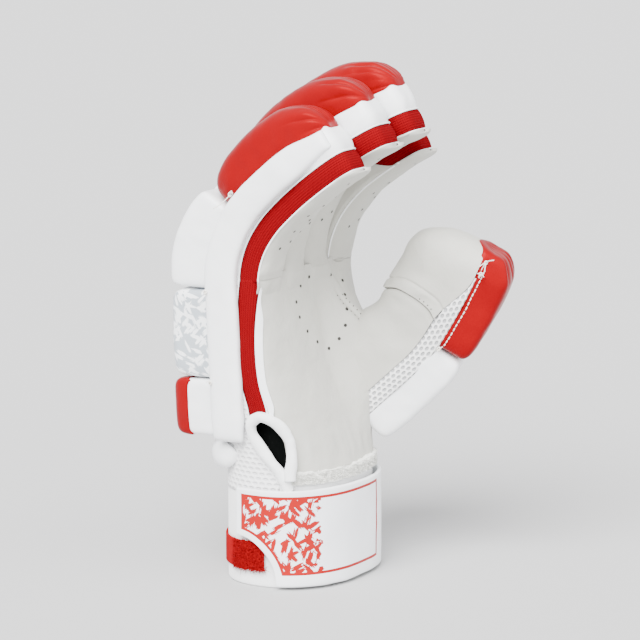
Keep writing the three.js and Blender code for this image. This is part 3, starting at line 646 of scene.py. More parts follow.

# %% [markdown]
# ### Small finishes
# Towelling and the loop half of a hook-and-loop fastener are piles of short threads, so their finish is
# only a colour, full roughness and some sheen, and the threads are modelled. Thread, rolled tape, the
# painted shade in the punched holes and the black sheet of painted shade behind the slit need no more
# than one colour with a little noise.

# %% Small finishes
def plain_cloth(name, base, shade, roughness, scale, bumps, sheen=0.3):
    """A finish of one colour with a little noise."""
    finish, tree, shader = new_finish(name, roughness, sheen=sheen)
    where = add(tree, "TexCoord").outputs["Object"]
    noise = add(tree, "TexNoise", {"Vector": where, "Scale": scale, "Detail": 3.0})
    tone = blend(tree, noise.outputs["Fac"], colour(base), colour(shade))
    bump = add(tree, "Bump", {"Height": noise.outputs["Fac"], "Strength": 0.4, "Distance": bumps})
    tree.links.new(tone, shader.inputs["Base Color"])
    tree.links.new(bump.outputs["Normal"], shader.inputs["Normal"])
    return finish


towelling = plain_cloth("looped_towelling", "#ECECE6", "#D6D6CE", 0.95, 700.0, 0.0006, 0.5)
loop_pile = plain_cloth("red_loop_pile", "#A40812", "#74040B", 0.95, 900.0, 0.0006, 0.0)
rolled_tape = plain_cloth("brushed_white_tape", "#F1F2F2", "#E4E5E5", 0.75, 500.0, 0.0003, 0.4)
thread = plain_cloth("white_polyester_thread", "#F4F1EA", "#DAD5CB", 0.6, 1500.0, 0.0001)
# A black sheet behind the slit is painted shade: the dark hollow of the hand seen through it.
slit_shade = plain_cloth("black_lining", "#0B0D0C", "#050606", 0.95, 400.0, 0.0002, 0.0)
for dull in (slit_shade, loop_pile):
    dull.node_tree.nodes["Principled BSDF"].inputs["Specular IOR Level"].default_value = 0.05
# The holes' discs are painted shade: the dark inside of each hole.
hole_shade = plain_cloth("punched_hole", "#3A3835", "#2A2825", 0.9, 900.0, 0.0001, 0.0)
print("finishes:", len(bpy.data.materials))

# %% [markdown]
# ## Threads and holes
# Piping, rolled tape and thread are tubes along a path. A running stitch is a row of short tubes that
# rise from the leather and dive into it again. Needle holes and punched air holes are dark discs of
# painted shade, which at this size look the same as real holes and need no cutting.

# %% Tubes
def tube(path, wide, high, facing, sides):
    """Rings round a path: wide across the surface, and high away from it."""
    along = np.gradient(path, axis=0)
    along /= np.linalg.norm(along, axis=1, keepdims=True)
    across = np.cross(along, facing)
    across /= np.linalg.norm(across, axis=1, keepdims=True)
    rise = np.cross(across, along)
    angle = np.linspace(0, 2 * math.pi, sides, endpoint=False)
    wide, high = (np.broadcast_to(np.asarray(v, float), len(path))[:, None, None] for v in (wide, high))
    sideways = across[:, None] * wide * np.cos(angle)[None, :, None]
    upwards = rise[:, None] * high * np.sin(angle)[None, :, None]
    return path[:, None] + sideways + upwards


def tubes(name, lines, finish, sides=6):
    """Many thin round tubes in one piece. A line is its path, its radius and the way its surface faces."""
    points, faces, count = [], [], 0
    for path, radius, facing in lines:
        rings = tube(path, radius, radius, facing, sides)
        faces += [[corner + count for corner in face] for face in tube_faces(len(path), sides)]
        points.append(rings.reshape(-1, 3))
        count += len(path) * sides
    return show(name, np.vstack(points), faces, finish)


def stitches(name, piece, path, long, gap, thick, high=0.35):
    """Running stitches along a path that is laid on a piece."""
    path = resample(path, 0.25)
    step, lines = int((long + gap) / 0.25), []
    spots, facing = touch(piece, path, 0.0)
    for first in range(0, len(path) - step, step):
        part = slice(first, first + int(long / 0.25) + 1)
        arch = np.sin(np.linspace(0, math.pi, part.stop - part.start))[:, None] ** 0.5
        lines.append((spots[part] + facing[part] * (high * arch - 0.15), thick, facing[part]))
    return tubes(name, lines, thread, 5)


def holes(name, piece, places, radius, sides=10):
    """Punched or needle holes: small dark discs of painted shade just above a piece."""
    spots, facing = touch(piece, places, 0.12)
    points, faces = [], []
    for spot, up in zip(spots, facing):
        side = np.cross(up, (0.3, 0.2, 0.9))
        side /= np.linalg.norm(side)
        other = np.cross(up, side)
        faces.append(list(range(len(points), len(points) + sides)))
        points += [
            spot + radius * (math.cos(t) * side + math.sin(t) * other)
            for t in np.linspace(0, 2 * math.pi, sides, endpoint=False)
        ]
    return show(name, points, faces, hole_shade)


# %% [markdown]
# ## Foam pads on the back
# Each finger carries a column of foam blocks under tight coated leather, with a groove between two
# blocks so that the finger can bend. A block is a dome bent along the finger: crowned on top, rounded
# at its edges, and a little uneven. Modelled by hand, that would be twelve different blocks; the bent line
# gives them all.

# %% Pad sizes
CASE_TOP, PAD_TOP, PAD_FOOT, CAP_HEIGHT, CAP_START = 19.5, 50.5, 16.5, 25.5, 0.27
PAD_GROOVE = 0.8
PADS = {"knuckle_pad": (-0.06, CAP_START), "back_pad": (-0.53, -0.06), "base_pad": (-0.835, -0.53)}
pad_skin = dome(44, 24, 28)


def pad_half(finger, s):
    """Half the pads' width at a place along a finger."""
    return finger.half * np.minimum(1, 1 + 0.08 * s / PALM_HEIGHT) - GAP / 2


def pad_top(finger, s):
    """The pads' height, which drops towards the cap."""
    return PAD_TOP - ease(0, CAP_START * finger.length, s) * (PAD_TOP - CASE_TOP - CAP_HEIGHT)


# %% Foam blocks
def foam_block(finger, ends, grow=0.0, keep=None):
    """Points and faces of one block between two places along a finger."""
    box, faces = pad_skin
    if keep is not None:
        faces = faces[(box[faces, 2] >= keep).all(1)]
    u, v, w = rounded(box, 9.0).T
    s = (ends[0] + ends[1]) / 2 + u * ((ends[1] - ends[0]) / 2 - PAD_GROOVE / 2 + grow)
    top = pad_top(finger, s) + grow
    crown = 1.3 * w * (1 - v**2) * (1 - u**4) - 0.9 * w
    pinch = 1 - 0.035 * np.abs(u) ** 8 * (1 - w)
    a = v * (pad_half(finger, s) + grow) * pinch
    return finger.at(s, a, PAD_FOOT + (top - PAD_FOOT) * w + crown), faces


def along_finger(finger, share):
    """Millimetres from the root: above 0 a share of the finger's length, below 0 of the palm's height."""
    return share * (finger.length if share > 0 else PALM_HEIGHT)


pad_finish = {
    "knuckle_pad": (white_leather, "white_leather"),
    "back_pad": (printed_leather, "printed_leather"),
    "base_pad": (white_leather, "white_leather"),
}
for number, finger in enumerate(fingers.values()):
    for pad, shares in PADS.items():
        ends = [along_finger(finger, share) for share in shares]
        points, faces = foam_block(finger, ends)
        finish, slot = pad_finish[pad]
        uneven = lambda p: 0.5 * lumps(p, 17, number) + 0.16 * lumps(p, 5.5, number + 7)
        block = show(
            f"{finger.name}_{pad}_foam", points, faces, finish, [f"{finger.name}_{pad}"]
        )
        sculpt(block, uneven)
        if pad == "base_pad":
            points, faces = foam_block(finger, ends, 0.6, 0.74)
            cover = show(f"{finger.name}_base_pad_cover", points, faces, red_leather)
            sculpt(cover, uneven)
            thicken(cover, 1)
print("foam blocks:", 4 * len(PADS))

# %% [markdown]
# ## Finger caps
# The outer half of each finger has one long pad in red. Its leather is gathered where it closes round
# the tip, so deep pleats run into the seam there and fade out along the pad. The pleats are grooves in
# the section's angle, and each has its own depth, as hand-pulled gathers do.

# %% Caps
CAP_AT = (0, 0.06, 0.25, 0.5, 0.7, 0.84, 0.94, 1)
CAP_TALL = (0.9, 0.96, 1.01, 1.02, 0.95, 0.80, 0.62, 0.38)
CAP_WIDE = (0.95, 1, 1, 1, 0.98, 0.95, 0.90, 0.80)
cap_skin = dome(104, 52, 36)


def cap_points(finger, seed):
    """A cap's dome, with gathers that deepen towards its tip."""
    u, v, w = rounded(cap_skin[0], 5.5).T
    low, high = CAP_START * finger.length + PAD_GROOVE / 2, finger.length - 0.5
    share = (u + 1) / 2
    s = low + (high - low) * share
    angle = np.arctan2(w, v)
    gathers = np.abs(np.sin(angle * 9.5 + 0.9 * np.sin(3 * angle + seed) + 0.5 * (1 - share)))
    near_tip = ease(0.70, 0.93, share - 0.05 * np.sin(7 * angle + 2 * seed))
    deep = np.clip(0.65 + 0.6 * np.sin(5 * angle + seed), 0.1, 1.2) * near_tip
    square = 1 - 0.16 * (np.abs(v) * w) ** 2
    swell = square * (1 - 0.15 * deep * (1 - gathers**0.7))
    tall = smooth(CAP_AT, CAP_TALL, share) * CAP_HEIGHT * swell
    half = smooth(CAP_AT, CAP_WIDE, share) * finger.half - GAP / 2
    half *= 1 - 0.13 * deep * (1 - gathers**0.7)
    tuck = 1 - 0.06 * np.exp(-((w / 0.06) ** 2))
    return finger.at(s, v * half * tuck * (1 + 0.02 * np.sin(math.pi * w)), CASE_TOP - 0.2 + tall * w)


for seed, finger in enumerate(fingers.values()):
    points = cap_points(finger, seed * 1.9)
    cap = show(
        f"{finger.name}_cap_leather", points, cap_skin[1], red_leather,
        [f"{finger.name}_cap"]
    )
    sculpt(cap, lambda p: 0.55 * lumps(p, 15, seed) + 0.22 * lumps(p, 5, seed + 3))

# %% [markdown]
# ## Round the fingers
# Under the caps each finger is a sleeve: white padded leather over a red knit band, and palm leather
# below. The case and the band follow one outline, up one side, round the blunt tip and down the other,
# so they are walls over that outline at different heights.

# %% A finger's outline
OUTLINE_START, OUTLINE_STEP = -0.8, 0.8


def finger_outline(finger):
    """Even steps of s and a round a finger, and the outward direction at each."""
    run = np.linspace(-1, 1, 240)
    u = np.concatenate([run, np.ones(80), run[::-1]])
    v = np.concatenate([-np.ones(240), np.linspace(-1, 1, 80), np.ones(240)])
    size = (np.clip(u, 0, 1) ** 5 + np.abs(v) ** 5) ** -0.2
    u, v = np.where(u > 0, u * size, u), v * size
    s = OUTLINE_START + (u + 1) / 2 * (finger.length - OUTLINE_START)
    path = resample(np.stack([s, v * finger.half], 1), OUTLINE_STEP)
    heading = np.gradient(path, axis=0)
    heading /= np.linalg.norm(heading, axis=1, keepdims=True)
    return path, np.stack([heading[:, 1], -heading[:, 0]], 1)


def finger_wall(finger, levels):
    """A wall round a finger. Each level gives a height and how far out the wall stands there."""
    path, out = finger_outline(finger)
    rows = [
        finger.at(path[:, 0] + out[:, 0] * far, path[:, 1] + out[:, 1] * far, high) for high, far in levels
    ]
    travelled = np.arange(len(path)) * OUTLINE_STEP
    cloth = np.stack([np.stack([travelled, np.full(len(path), high)], 1) for high, far in levels])
    faces, row, column = grid(len(levels), len(path))
    inside = np.array([finger.at(path[:, 0], 0, high) for high, far in levels])
    return np.array(rows), faces, cloth[row, column], inside


# %% White cases
def bulged(low, high, count, out, tuck):
    """Heights of a stuffed wall and how far it stands out there, tucked in at both edges."""
    share = np.linspace(0, 1, count)
    return [(low + (high - low) * t, out * math.sin(math.pi * t) - tuck * (2 * t - 1) ** 8) for t in share]


# Past the tip the case stands out in an ear. Its rows give how far, from the knit up to the cap.
EAR = (0.04, 0.1, 0.2, 0.34, 0.5, 0.7, 0.86, 1, 1, 0.8, 0.5, 0.2)
EAR_WIDE = 13.0
for seed, finger in enumerate(fingers.values()):
    levels = bulged(KNIT_HALF + GAP, CASE_TOP + 0.3, 14, 0.9, 0.6)
    levels += [(CASE_TOP + 0.4, -far) for far in (1.5, 3, 6, 9)]
    rows, faces, cloth, inside = finger_wall(finger, levels)
    middle = len(rows[0]) // 2
    from_tip = np.abs(np.arange(len(rows[0])) - middle) * OUTLINE_STEP
    near_tip = np.clip(1 - from_tip / EAR_WIDE, 0, 1) ** 1.5
    ear = finger.at(finger.length - 3.0, 0, 6.5) - finger.at(finger.length, 0, 0)
    for level, share in enumerate(EAR, start=6):
        rows[level] += near_tip[:, None] * ear * share
    case = show(
        f"{finger.name}_case_leather", rows, faces, white_leather, [f"{finger.name}_case"],
        cloth, inside=inside
    )
    sculpt(case, lambda p: 0.4 * lumps(p, 11, seed + 11) + 0.15 * lumps(p, 4, seed + 4))
print("cases, mm high:", round(CASE_TOP - KNIT_HALF - GAP, 2))

# %% Knit bands
for finger in fingers.values():
    levels = bulged(-KNIT_HALF - 0.2, KNIT_HALF + 0.2, 11, 0.7, 0.5)
    rows, faces, cloth, inside = finger_wall(finger, levels)
    if finger is little:
        # The little finger's band goes on down the edge of the hand, to the slit at the wrist.
        ups = np.linspace(0.27, 1.0, 70)
        sections = [hand_section(up) for up in ups]
        down = np.array(
            [[on_section(sec, turn_at(sec, -high), far) for sec in sections] for high, far in levels]
        )
        heights = [high for high, far in levels]
        strip = np.stack(np.meshgrid(heights, (ups - 1) * PALM_HEIGHT, indexing="ij")[::-1], -1)
        more, row, column = grid(*down.shape[:2])
        faces = np.vstack([faces, more + rows.shape[0] * rows.shape[1]])
        cloth = np.vstack([cloth, strip[row, column]])
        rows = np.vstack([rows.reshape(-1, 3), down.reshape(-1, 3)])
        inside = np.vstack([inside.reshape(-1, 3), (down * (0.3, 1, 1)).reshape(-1, 3)])
    band = show(
        f"{finger.name}_knit_band", rows, faces, red_knit, [f"{finger.name}_gusset"], cloth,
        inside=inside
    )
    thicken(band, 1.2)

# %% Piping beside the knit
# A thin white edge is sewn along both sides of each band.
PIPING = 0.48
for finger in fingers.values():
    lines = []
    path, out = finger_outline(finger)
    for high in (KNIT_HALF + 0.15, -KNIT_HALF - 0.15):
        line = finger.at(path[:, 0] + out[:, 0] * 0.2, path[:, 1] + out[:, 1] * 0.2, high)
        facing = finger.at(path[:, 0] + out[:, 0] * 3, path[:, 1] + out[:, 1] * 3, high) - line
        lines.append((line, PIPING, facing))
        if finger is little:
            line = np.array([on_section(sec, turn_at(sec, -high), 0.25) for sec in sections])
            facing = np.array([on_section(sec, turn_at(sec, -high), 4) for sec in sections]) - line
            lines.append((line, PIPING, facing))
    tubes(f"{finger.name}_knit_piping", lines, white_leather)

# %% [markdown]
# ## Leather under the fingers
# The underside of each finger is a piece of palm leather that ends in a short tongue past the tip. It
# is full in the middle and sinks into the palm below the root, so that a fold stays open between two
# fingers. Towards the next finger it turns up over the knit, so the fold between the two is leather all
# through.

# %% Undersides
def palm_surface(x, z):
    """How far forward the palm lies at a place, in y."""
    section = hand_section(np.clip((z - WRIST_Z) / PALM_HEIGHT, 0, 1))
    level = np.clip(np.abs(x) / section["half"], 0, 0.97)
    high = (1 - level ** section["power"]) ** (1 / section["power"])
    middle = (section["palm"] + section["back"]) / 2
    edge = middle + (np.where(x < 0, section["ulnar"], section["thumb"]) - middle) * level
    mound = section["mound"] * np.sin(math.pi * np.clip((x / section["half"] - 0.1) / 0.95, 0, 1)) ** 2
    return edge - mound - high * (edge - section["palm"])


UNDER_START, UNDER_FULL = -19.0, 7.0
FLAP_OUT, FLAP_HIGH = 1.5, 9.6
undersides = {}
for seed, finger in enumerate(fingers.values()):
    end = finger.length + 2.5
    flap = np.linspace(1, 0, 12)[:-1] if finger is not little else np.zeros(0)
    v, share = np.concatenate([flap * 0 - 1, np.linspace(-1, 1, 41)]), np.linspace(0, 1, 130)
    flap = np.concatenate([flap, np.zeros(41)])
    s = (UNDER_START + share * (end - UNDER_START))[:, None] + 0 * v
    round_end = np.clip((s - end * 0.9) / (end * 0.1), 0, 1)
    narrow = (1 - 0.999 * round_end**3.2) ** (1 / 3.2)
    a = v * (finger.half + 0.1) * narrow * (1 - 0.09 * ease(-1, -10, s))
    side = np.abs(v) ** 7
    turned_up = 0.06 + 0.94 * ease(0.84, 0.66, s / finger.length) * ease(-3, 3, s)
    a = a - FLAP_OUT * turned_up * ease(0, 0.2, flap)
    puff = (1.4 + 1.0 * ease(30, 5, s)) * (1 - v**2) * (1 - round_end**2)
    b = -(PALM_TO_KNIT - 0.4 + puff) * (1 - side) - (KNIT_HALF + GAP) * side
    b = b + FLAP_HIGH * turned_up * flap - 0.6 * ease(0.84, 1.0, s / end)
    points = finger.at(s, a, b)
    sunk = palm_surface(points[..., 0], points[..., 2]) - (5.0 * ease(UNDER_START, 2, s) * (1 - v**4) - 2.6)
    held = 1 - np.abs(v) ** 8 * ease(-12, -2, s)
    points[..., 1] += (sunk - points[..., 1]) * ease(UNDER_FULL, -1.0, s) * held
    faces, row, column = grid(*s.shape)
    cloth = np.stack([s, a], -1)[row, column]
    stands_for = [f"{finger.name}_underside"]
    piece = show(
        f"{finger.name}_palm_side", points, faces, palm_leather, stands_for, cloth,
        inside=finger.at(s, 0, 8)
    )
    sculpt(piece, lambda p: 0.45 * lumps(p, 9, seed + 21) + 0.16 * lumps(p, 3.5, seed + 5))
    thicken(piece, 0.8)
    undersides[finger.name] = piece

# %% [markdown]
# ## The padded strip at the little finger
# A long cushion of white leather runs up the outside of the little finger, beside the knit. It is a
# tube with a superellipse section that is flat towards the pads and full on the outside.

# %% Side strip
STRIP_THICK, STRIP_TOP = 5.5, 24.5
strip_middle = (KNIT_HALF + GAP + STRIP_TOP) / 2
shares = np.linspace(0, 1, 190)
along = -0.84 * PALM_HEIGHT + shares * (0.84 * PALM_HEIGHT + 0.97 * little.length)
full = np.clip(1 - (np.abs(shares - 0.5) / 0.5) ** 26, 0.02, 1) ** 0.5
tall = (STRIP_TOP - strip_middle) * (1 - 0.14 * ease(0, little.length, along)) * (0.8 + 0.2 * full)
tall *= 1 - 0.32 * ease(0.7 * little.length, 0.95 * little.length, along)
angle = np.linspace(0, 2 * math.pi, 56, endpoint=False)
x, y = corner(angle, 3.0)
half_thick = STRIP_THICK / 2 * full[:, None]
sunk = 4.4 * ease(0.6 * little.length, 0.97 * little.length, along)[:, None]
outside = -little.half - GAP - STRIP_THICK / 2 + sunk
a = outside + half_thick * np.where(x < 0, 1.35, 1.0) * x
rows = little.at(along[:, None], a, strip_middle + tall[:, None] * y)
side_strip = show(
    "side_strip_leather", rows, tube_faces(*rows.shape[:2]), white_leather, ["side_panel"],
)
sculpt(side_strip, lambda p: 0.6 * lumps(p, 21, 2) + 0.2 * lumps(p, 7, 5))
print("side strip, mm long:", round(along[-1] - along[0]))

# %% [markdown]
# ## The palm
# The palm is one panel of soft leather. It is a grid over the hand's sections, with even steps across
# so that its folds and pores have the same scale everywhere. The fingers pull it into a puff below each
# root with a V-shaped fold between two of them, and the foot of the thumb gathers it.

# %% Panels over the hand
SLIT_UP, SLIT_LEATHER, SLIT_MESH = (0, 0.16, 0.31, 0.47), (2.9, 2.3, 1.1, 1), (2.3, -0.1, -1, -1)
THUMB_SEAM = 0.36


def leather_start(up, section):
    """The turn where the palm's leather starts, beside the knit or the slit."""
    return turn_at(section, np.interp(up, SLIT_UP, SLIT_LEATHER) * KNIT_HALF + GAP)


def thumb_side(section):
    """The turn of the seam between palm and back, on the thumb's side."""
    return 0.5 - turn_at(section, -THUMB_SEAM * HAND_DEPTH, "thumb")


def hand_panel(ups, ends_at, columns, out=0.0, cut=lambda up, long: (0, long)):
    """A grid over the hand with even steps across, and its cloth coordinates. A cut gives the mm to keep."""
    rows, cloth = [], []
    for up in ups:
        section = hand_section(up)
        turns = np.linspace(*ends_at(up, section), 400)
        line = on_section(section, turns, out)
        travelled = np.concatenate([[0], np.cumsum(np.linalg.norm(np.diff(line, axis=0), axis=1))])
        even = np.linspace(*cut(up, travelled[-1]), columns)
        rows.append(np.stack([np.interp(even, travelled, part) for part in line.T], 1))
        cloth.append(np.stack([even, np.full(columns, up * PALM_HEIGHT)], 1))
    faces, row, column = grid(len(ups), columns)
    return np.array(rows), faces, np.array(cloth)[row, column]


def in_the_hand(rows):
    """A place inside the hand for each point of its surface."""
    return rows * (0.2, 0, 1) + (0, 4, 0)


# %% Palm panel
LEATHER, TURNED_EDGE = 1.6, 3.2
turned_edge = lambda up: TURNED_EDGE * ease(0.24, 0.36, up) * ease(0.93, 0.78, up)
palm_ends = lambda up, section: (leather_start(up, section), thumb_side(section))
palm_ups = np.linspace(0.0, 1.02, 150)
rows, faces, cloth = hand_panel(palm_ups, palm_ends, 140, cut=lambda up, long: (turned_edge(up), long))
palm = show(
    "palm_leather_panel", rows, faces, palm_leather, ["palm_leather"], cloth,
    inside=in_the_hand(rows)
)
row = list(fingers.values())
webs = [
    (one.at(0, one.half, 0)[0] + other.at(0, -other.half, 0)[0]) / 2
    for one, other in zip(row[:-1], row[1:])
]
PALM_SEAM_UP = (0.2, 0.245, 0.362, 0.545, 0.675, 0.792, 0.85)
PALM_SEAM_X = (43, 42, 38.7, 27.8, 27.3, 22, 20)


def palm_folds(p):
    """How far the palm's leather stands out: puffs at the roots, folds, a seam and gathers."""
    up = (p[:, 2] - WRIST_Z) / PALM_HEIGHT
    near_root = ease(0.84, 1.0, up)
    palmwards = ease(2.0, -4.0, p[:, 1] - PALM_Y)
    height = 0.8 * lumps(p, 24, 1) + 0.35 * lumps(p, 9, 2) + 0.1 * lumps(p, 4, 3)
    for finger in fingers.values():
        root_x = finger.at(0, 0, 0)[0]
        height += 1.6 * near_root * palmwards * np.clip(1 - ((p[:, 0] - root_x) / finger.half) ** 2, 0, 1)
    for web in webs:
        wide = 0.9 + 2.6 * ease(0.86, 1.0, up)
        height -= 1.9 * ease(0.85, 0.96, up) * palmwards * np.exp(-(((p[:, 0] - web) / wide) ** 2))
    away = p[:, 0] - np.interp(up, PALM_SEAM_UP, PALM_SEAM_X)
    seam = ease(0.15, 0.25, up) * ease(0.9, 0.78, up) * palmwards
    beside = 0.9 * np.exp(-(((away - 2.6) / 2.2) ** 2)) + 0.3 * np.exp(-(((away + 3) / 2.5) ** 2))
    height += seam * (beside - 1.1 * np.exp(-((away / 0.8) ** 2)))
    gathers = ease(0.30, 0.05, up) * palmwards
    return height + 0.5 * gathers * lumps(p * (1, 1, 0.35), 4.5, 8)


sculpt(palm, palm_folds)
thicken(palm, LEATHER)

# %% Back mesh
def mesh_ends(up, section):
    """The mesh goes round the back, from the thumb's side to the slit."""
    slit_edge = np.interp(up, SLIT_UP, SLIT_MESH) * KNIT_HALF - GAP
    return thumb_side(section) + 0.003, 1 + turn_at(section, slit_edge)


rows, faces, cloth = hand_panel(np.linspace(-0.12, 1.0, 76), mesh_ends, 110, 0.35)
back = show(
    "back_mesh_cloth", rows, faces, wrist_mesh, ["back_mesh"], cloth, inside=in_the_hand(rows)
)
sculpt(back, lambda p: 0.5 * lumps(p, 16, 4))
thicken(back, 2)
print("webs between the fingers, mm:", np.round(webs, 1))

# %% White edge of the palm
# The palm's edge is turned over and shows as a narrow white strip beside the knit.
edge_ups = np.linspace(0.3, 1.0, 120)
rows, faces, cloth = hand_panel(edge_ups, palm_ends, 14, 0.1, lambda up, long: (0.0, 0.3 + turned_edge(up)))
edging = show(
    "palm_turned_edge", rows, faces, white_leather, cloth=cloth, inside=in_the_hand(rows)
)
sculpt(edging, lambda p: 0.5 + 0.2 * lumps(p, 5, 9))
thicken(edging, 1.2)

# %% [markdown]
# ## The thumb
# The thumb is a soft leather shell on the palm's side, a band of coarse mesh, and two foam pads on its
# outside. Its leather is pieced by a seam across the thumb, where the outer panel puffs over the inner
# one, and it closes in a round tip.

# %% The thumb's bent line
THUMB_LENGTH, THUMB_WIDTH, THUMB_DEPTH, THUMB_MESH, THUMB_PAD = 108.0, 30.0, 35.0, 5.0, 17.0
THUMB_AT = (-0.12, 0.12, 0.3, 0.44, 0.56, 0.72, 0.86)
THUMB_DEEP = (1.12, 1.12, 1.07, 1.02, 1, 1.03, 1.02)
THUMB_WIDE = (1, 1.05, 1.06, 0.98, 1, 1.06, 1.04)
THUMB_RISE, THUMB_OUT = (44, 43, 58, 66), (18, 13, 8, 5)
THUMB_TIP, THUMB_MIDDLE = 5.0, -2.5
thumb_root = hand_section(0.25)
thumb_start = np.array([
    float(thumb_root["half"]) * 0.782,
    float(thumb_root["palm"] + (thumb_root["thumb"] - thumb_root["palm"]) * 0.32),
    float(thumb_root["z"]),
])


def thumb_along(s):
    """The thumb's direction at a place along it."""
    share = np.clip(s / THUMB_LENGTH, 0, 1)
    rise, out = (np.radians(np.interp(share, (0, 0.33, 0.52, 1), row)) for row in (THUMB_RISE, THUMB_OUT))
    return np.stack([np.sin(out) * np.cos(rise), -np.cos(out) * np.cos(rise), np.sin(rise)], 1)


thumb = Limb(thumb_start, thumb_along, lambda s: np.tile([0.35, -0.75, -0.55], (len(s), 1)), -17, 116)


def thumb_close(s, power=2.5):
    """1 along the thumb, and down to 0 over its round tip."""
    t = np.clip((s / THUMB_LENGTH - 0.84) / (1 + THUMB_TIP / THUMB_LENGTH - 0.84), 0, 1)
    return (1 - t**power) ** (1 / power)


def thumb_half(s):
    """Half the thumb's width at a place along it."""
    return smooth(THUMB_AT, THUMB_WIDE, s / THUMB_LENGTH) * THUMB_WIDTH / 2 * thumb_close(s)


def leather_edge(s):
    """The height of the leather's edge beside the mesh, which rises towards the tip."""
    return -THUMB_MESH + (2 * THUMB_MESH - 1.2) * ease(0.60, 0.9, s / THUMB_LENGTH)


def thumb_point(s, angle):
    """Places on the thumb's leather, at an angle round it."""
    deep = smooth(THUMB_AT, THUMB_DEEP, s / THUMB_LENGTH) * THUMB_DEPTH
    x, y = corner(angle, 2.4)
    edge = leather_edge(s)
    b = edge - (deep + edge) * y
    close = np.where(b < THUMB_MIDDLE, thumb_close(s), thumb_close(s, 6))
    b = THUMB_MIDDLE + (b - THUMB_MIDDLE) * close
    return thumb.at(s, thumb_half(s) * x, b)


# %% Thumb leather
SEAM_TURN = (-0.02, 0, 0.04, 0.114, 0.233, 0.403, 0.6, 1.02)
SEAM_SHARE = (0.618, 0.618, 0.639, 0.657, 0.657, 0.597, 0.56, 0.55)
thumb_turns = np.linspace(0, math.pi, 104)


def seam_s(angle):
    """How far along the thumb its seam lies, at an angle round it."""
    return smooth(SEAM_TURN, SEAM_SHARE, angle / math.pi) * THUMB_LENGTH


# Rows crowd together at the seam, so that its fold is crisp.
before = -(1 - np.linspace(0, 1, 120)) ** 1.8
beyond, tip = np.linspace(0, 1, 110)[1:] ** 1.6 * 0.72, 1 - 0.28 * np.linspace(1, 0, 50)[1:] ** 2
after = np.concatenate([beyond, tip])
seam_row = seam_s(thumb_turns)[None]
first, last = -15.0, THUMB_LENGTH + THUMB_TIP
lower = seam_row + before[:, None] * (seam_row - first)
upper = seam_row + after[:, None] * (last - seam_row)
thumb_s = np.vstack([lower, upper])
rows = thumb_point(thumb_s, thumb_turns[None])
girths = np.cumsum(np.linalg.norm(np.diff(rows, axis=1), axis=2), axis=1)
girths = np.concatenate([np.zeros((len(rows), 1)), girths], 1)
faces, row, column = grid(*rows.shape[:2])
cloth = np.stack([thumb_s, girths], -1)[row, column]
thumb_leather = show(
    "thumb_leather_shell", rows, faces, palm_leather, ["thumb_leather"], cloth,
    inside=thumb.at(thumb_s, 0, -9)
)


def thumb_folds(p):
    """How far the thumb's leather stands out beside its seam and at its root."""
    away = (thumb_s - seam_row).reshape(-1)
    puff = 1.5 * ease(0.0, 0.5, away) * ease(16, 1, away) + 0.5 * np.exp(-(((away + 3.5) / 3) ** 2))
    groove = -1.7 * np.exp(-((away / 0.35) ** 2)) - 0.7 * np.exp(-(((away - 7.0) / 0.8) ** 2))
    gather = 0.45 * np.exp(-(((away - 3.5) / 4) ** 2)) * lumps(p, 4.0, 5)
    root = 1.5 * ease(34, 4, thumb_s.reshape(-1)) * lumps(p * (1, 1, 0.6), 11, 6)
    return puff + groove + gather + root + 0.9 * lumps(p, 19, 1) + 0.35 * lumps(p, 7, 2)


sculpt(thumb_leather, thumb_folds)

# %% Thumb mesh
band_rows = np.linspace(-14, 0.9 * THUMB_LENGTH, 120)
points, cloths, sheets = [], [], []
for side in (1, -1):
    low, high = leather_edge(band_rows) + 0.15, np.full(len(band_rows), THUMB_MESH)
    share = np.linspace(0, 1, 9)
    b = low[:, None] + (high - low)[:, None] * share
    out = 0.5 * np.sin(math.pi * share) - 0.4
    points.append(thumb.at(band_rows[:, None], side * (thumb_half(band_rows)[:, None] + out), b))
    faces, row, column = grid(*b.shape)
    sheets.append(faces + len(sheets) * b.size)
    cloths.append(np.stack([np.broadcast_to(band_rows[:, None], b.shape), b + 0.6], -1)[row, column])
inside = np.broadcast_to(thumb.at(band_rows[:, None], 0, 0), (2, *b.shape, 3))
mesh_band = show(
    "thumb_mesh_band", np.array(points), np.vstack(sheets), thumb_mesh, ["thumb_mesh"],
    np.vstack(cloths), inside=inside
)
thicken(mesh_band, 1.2)

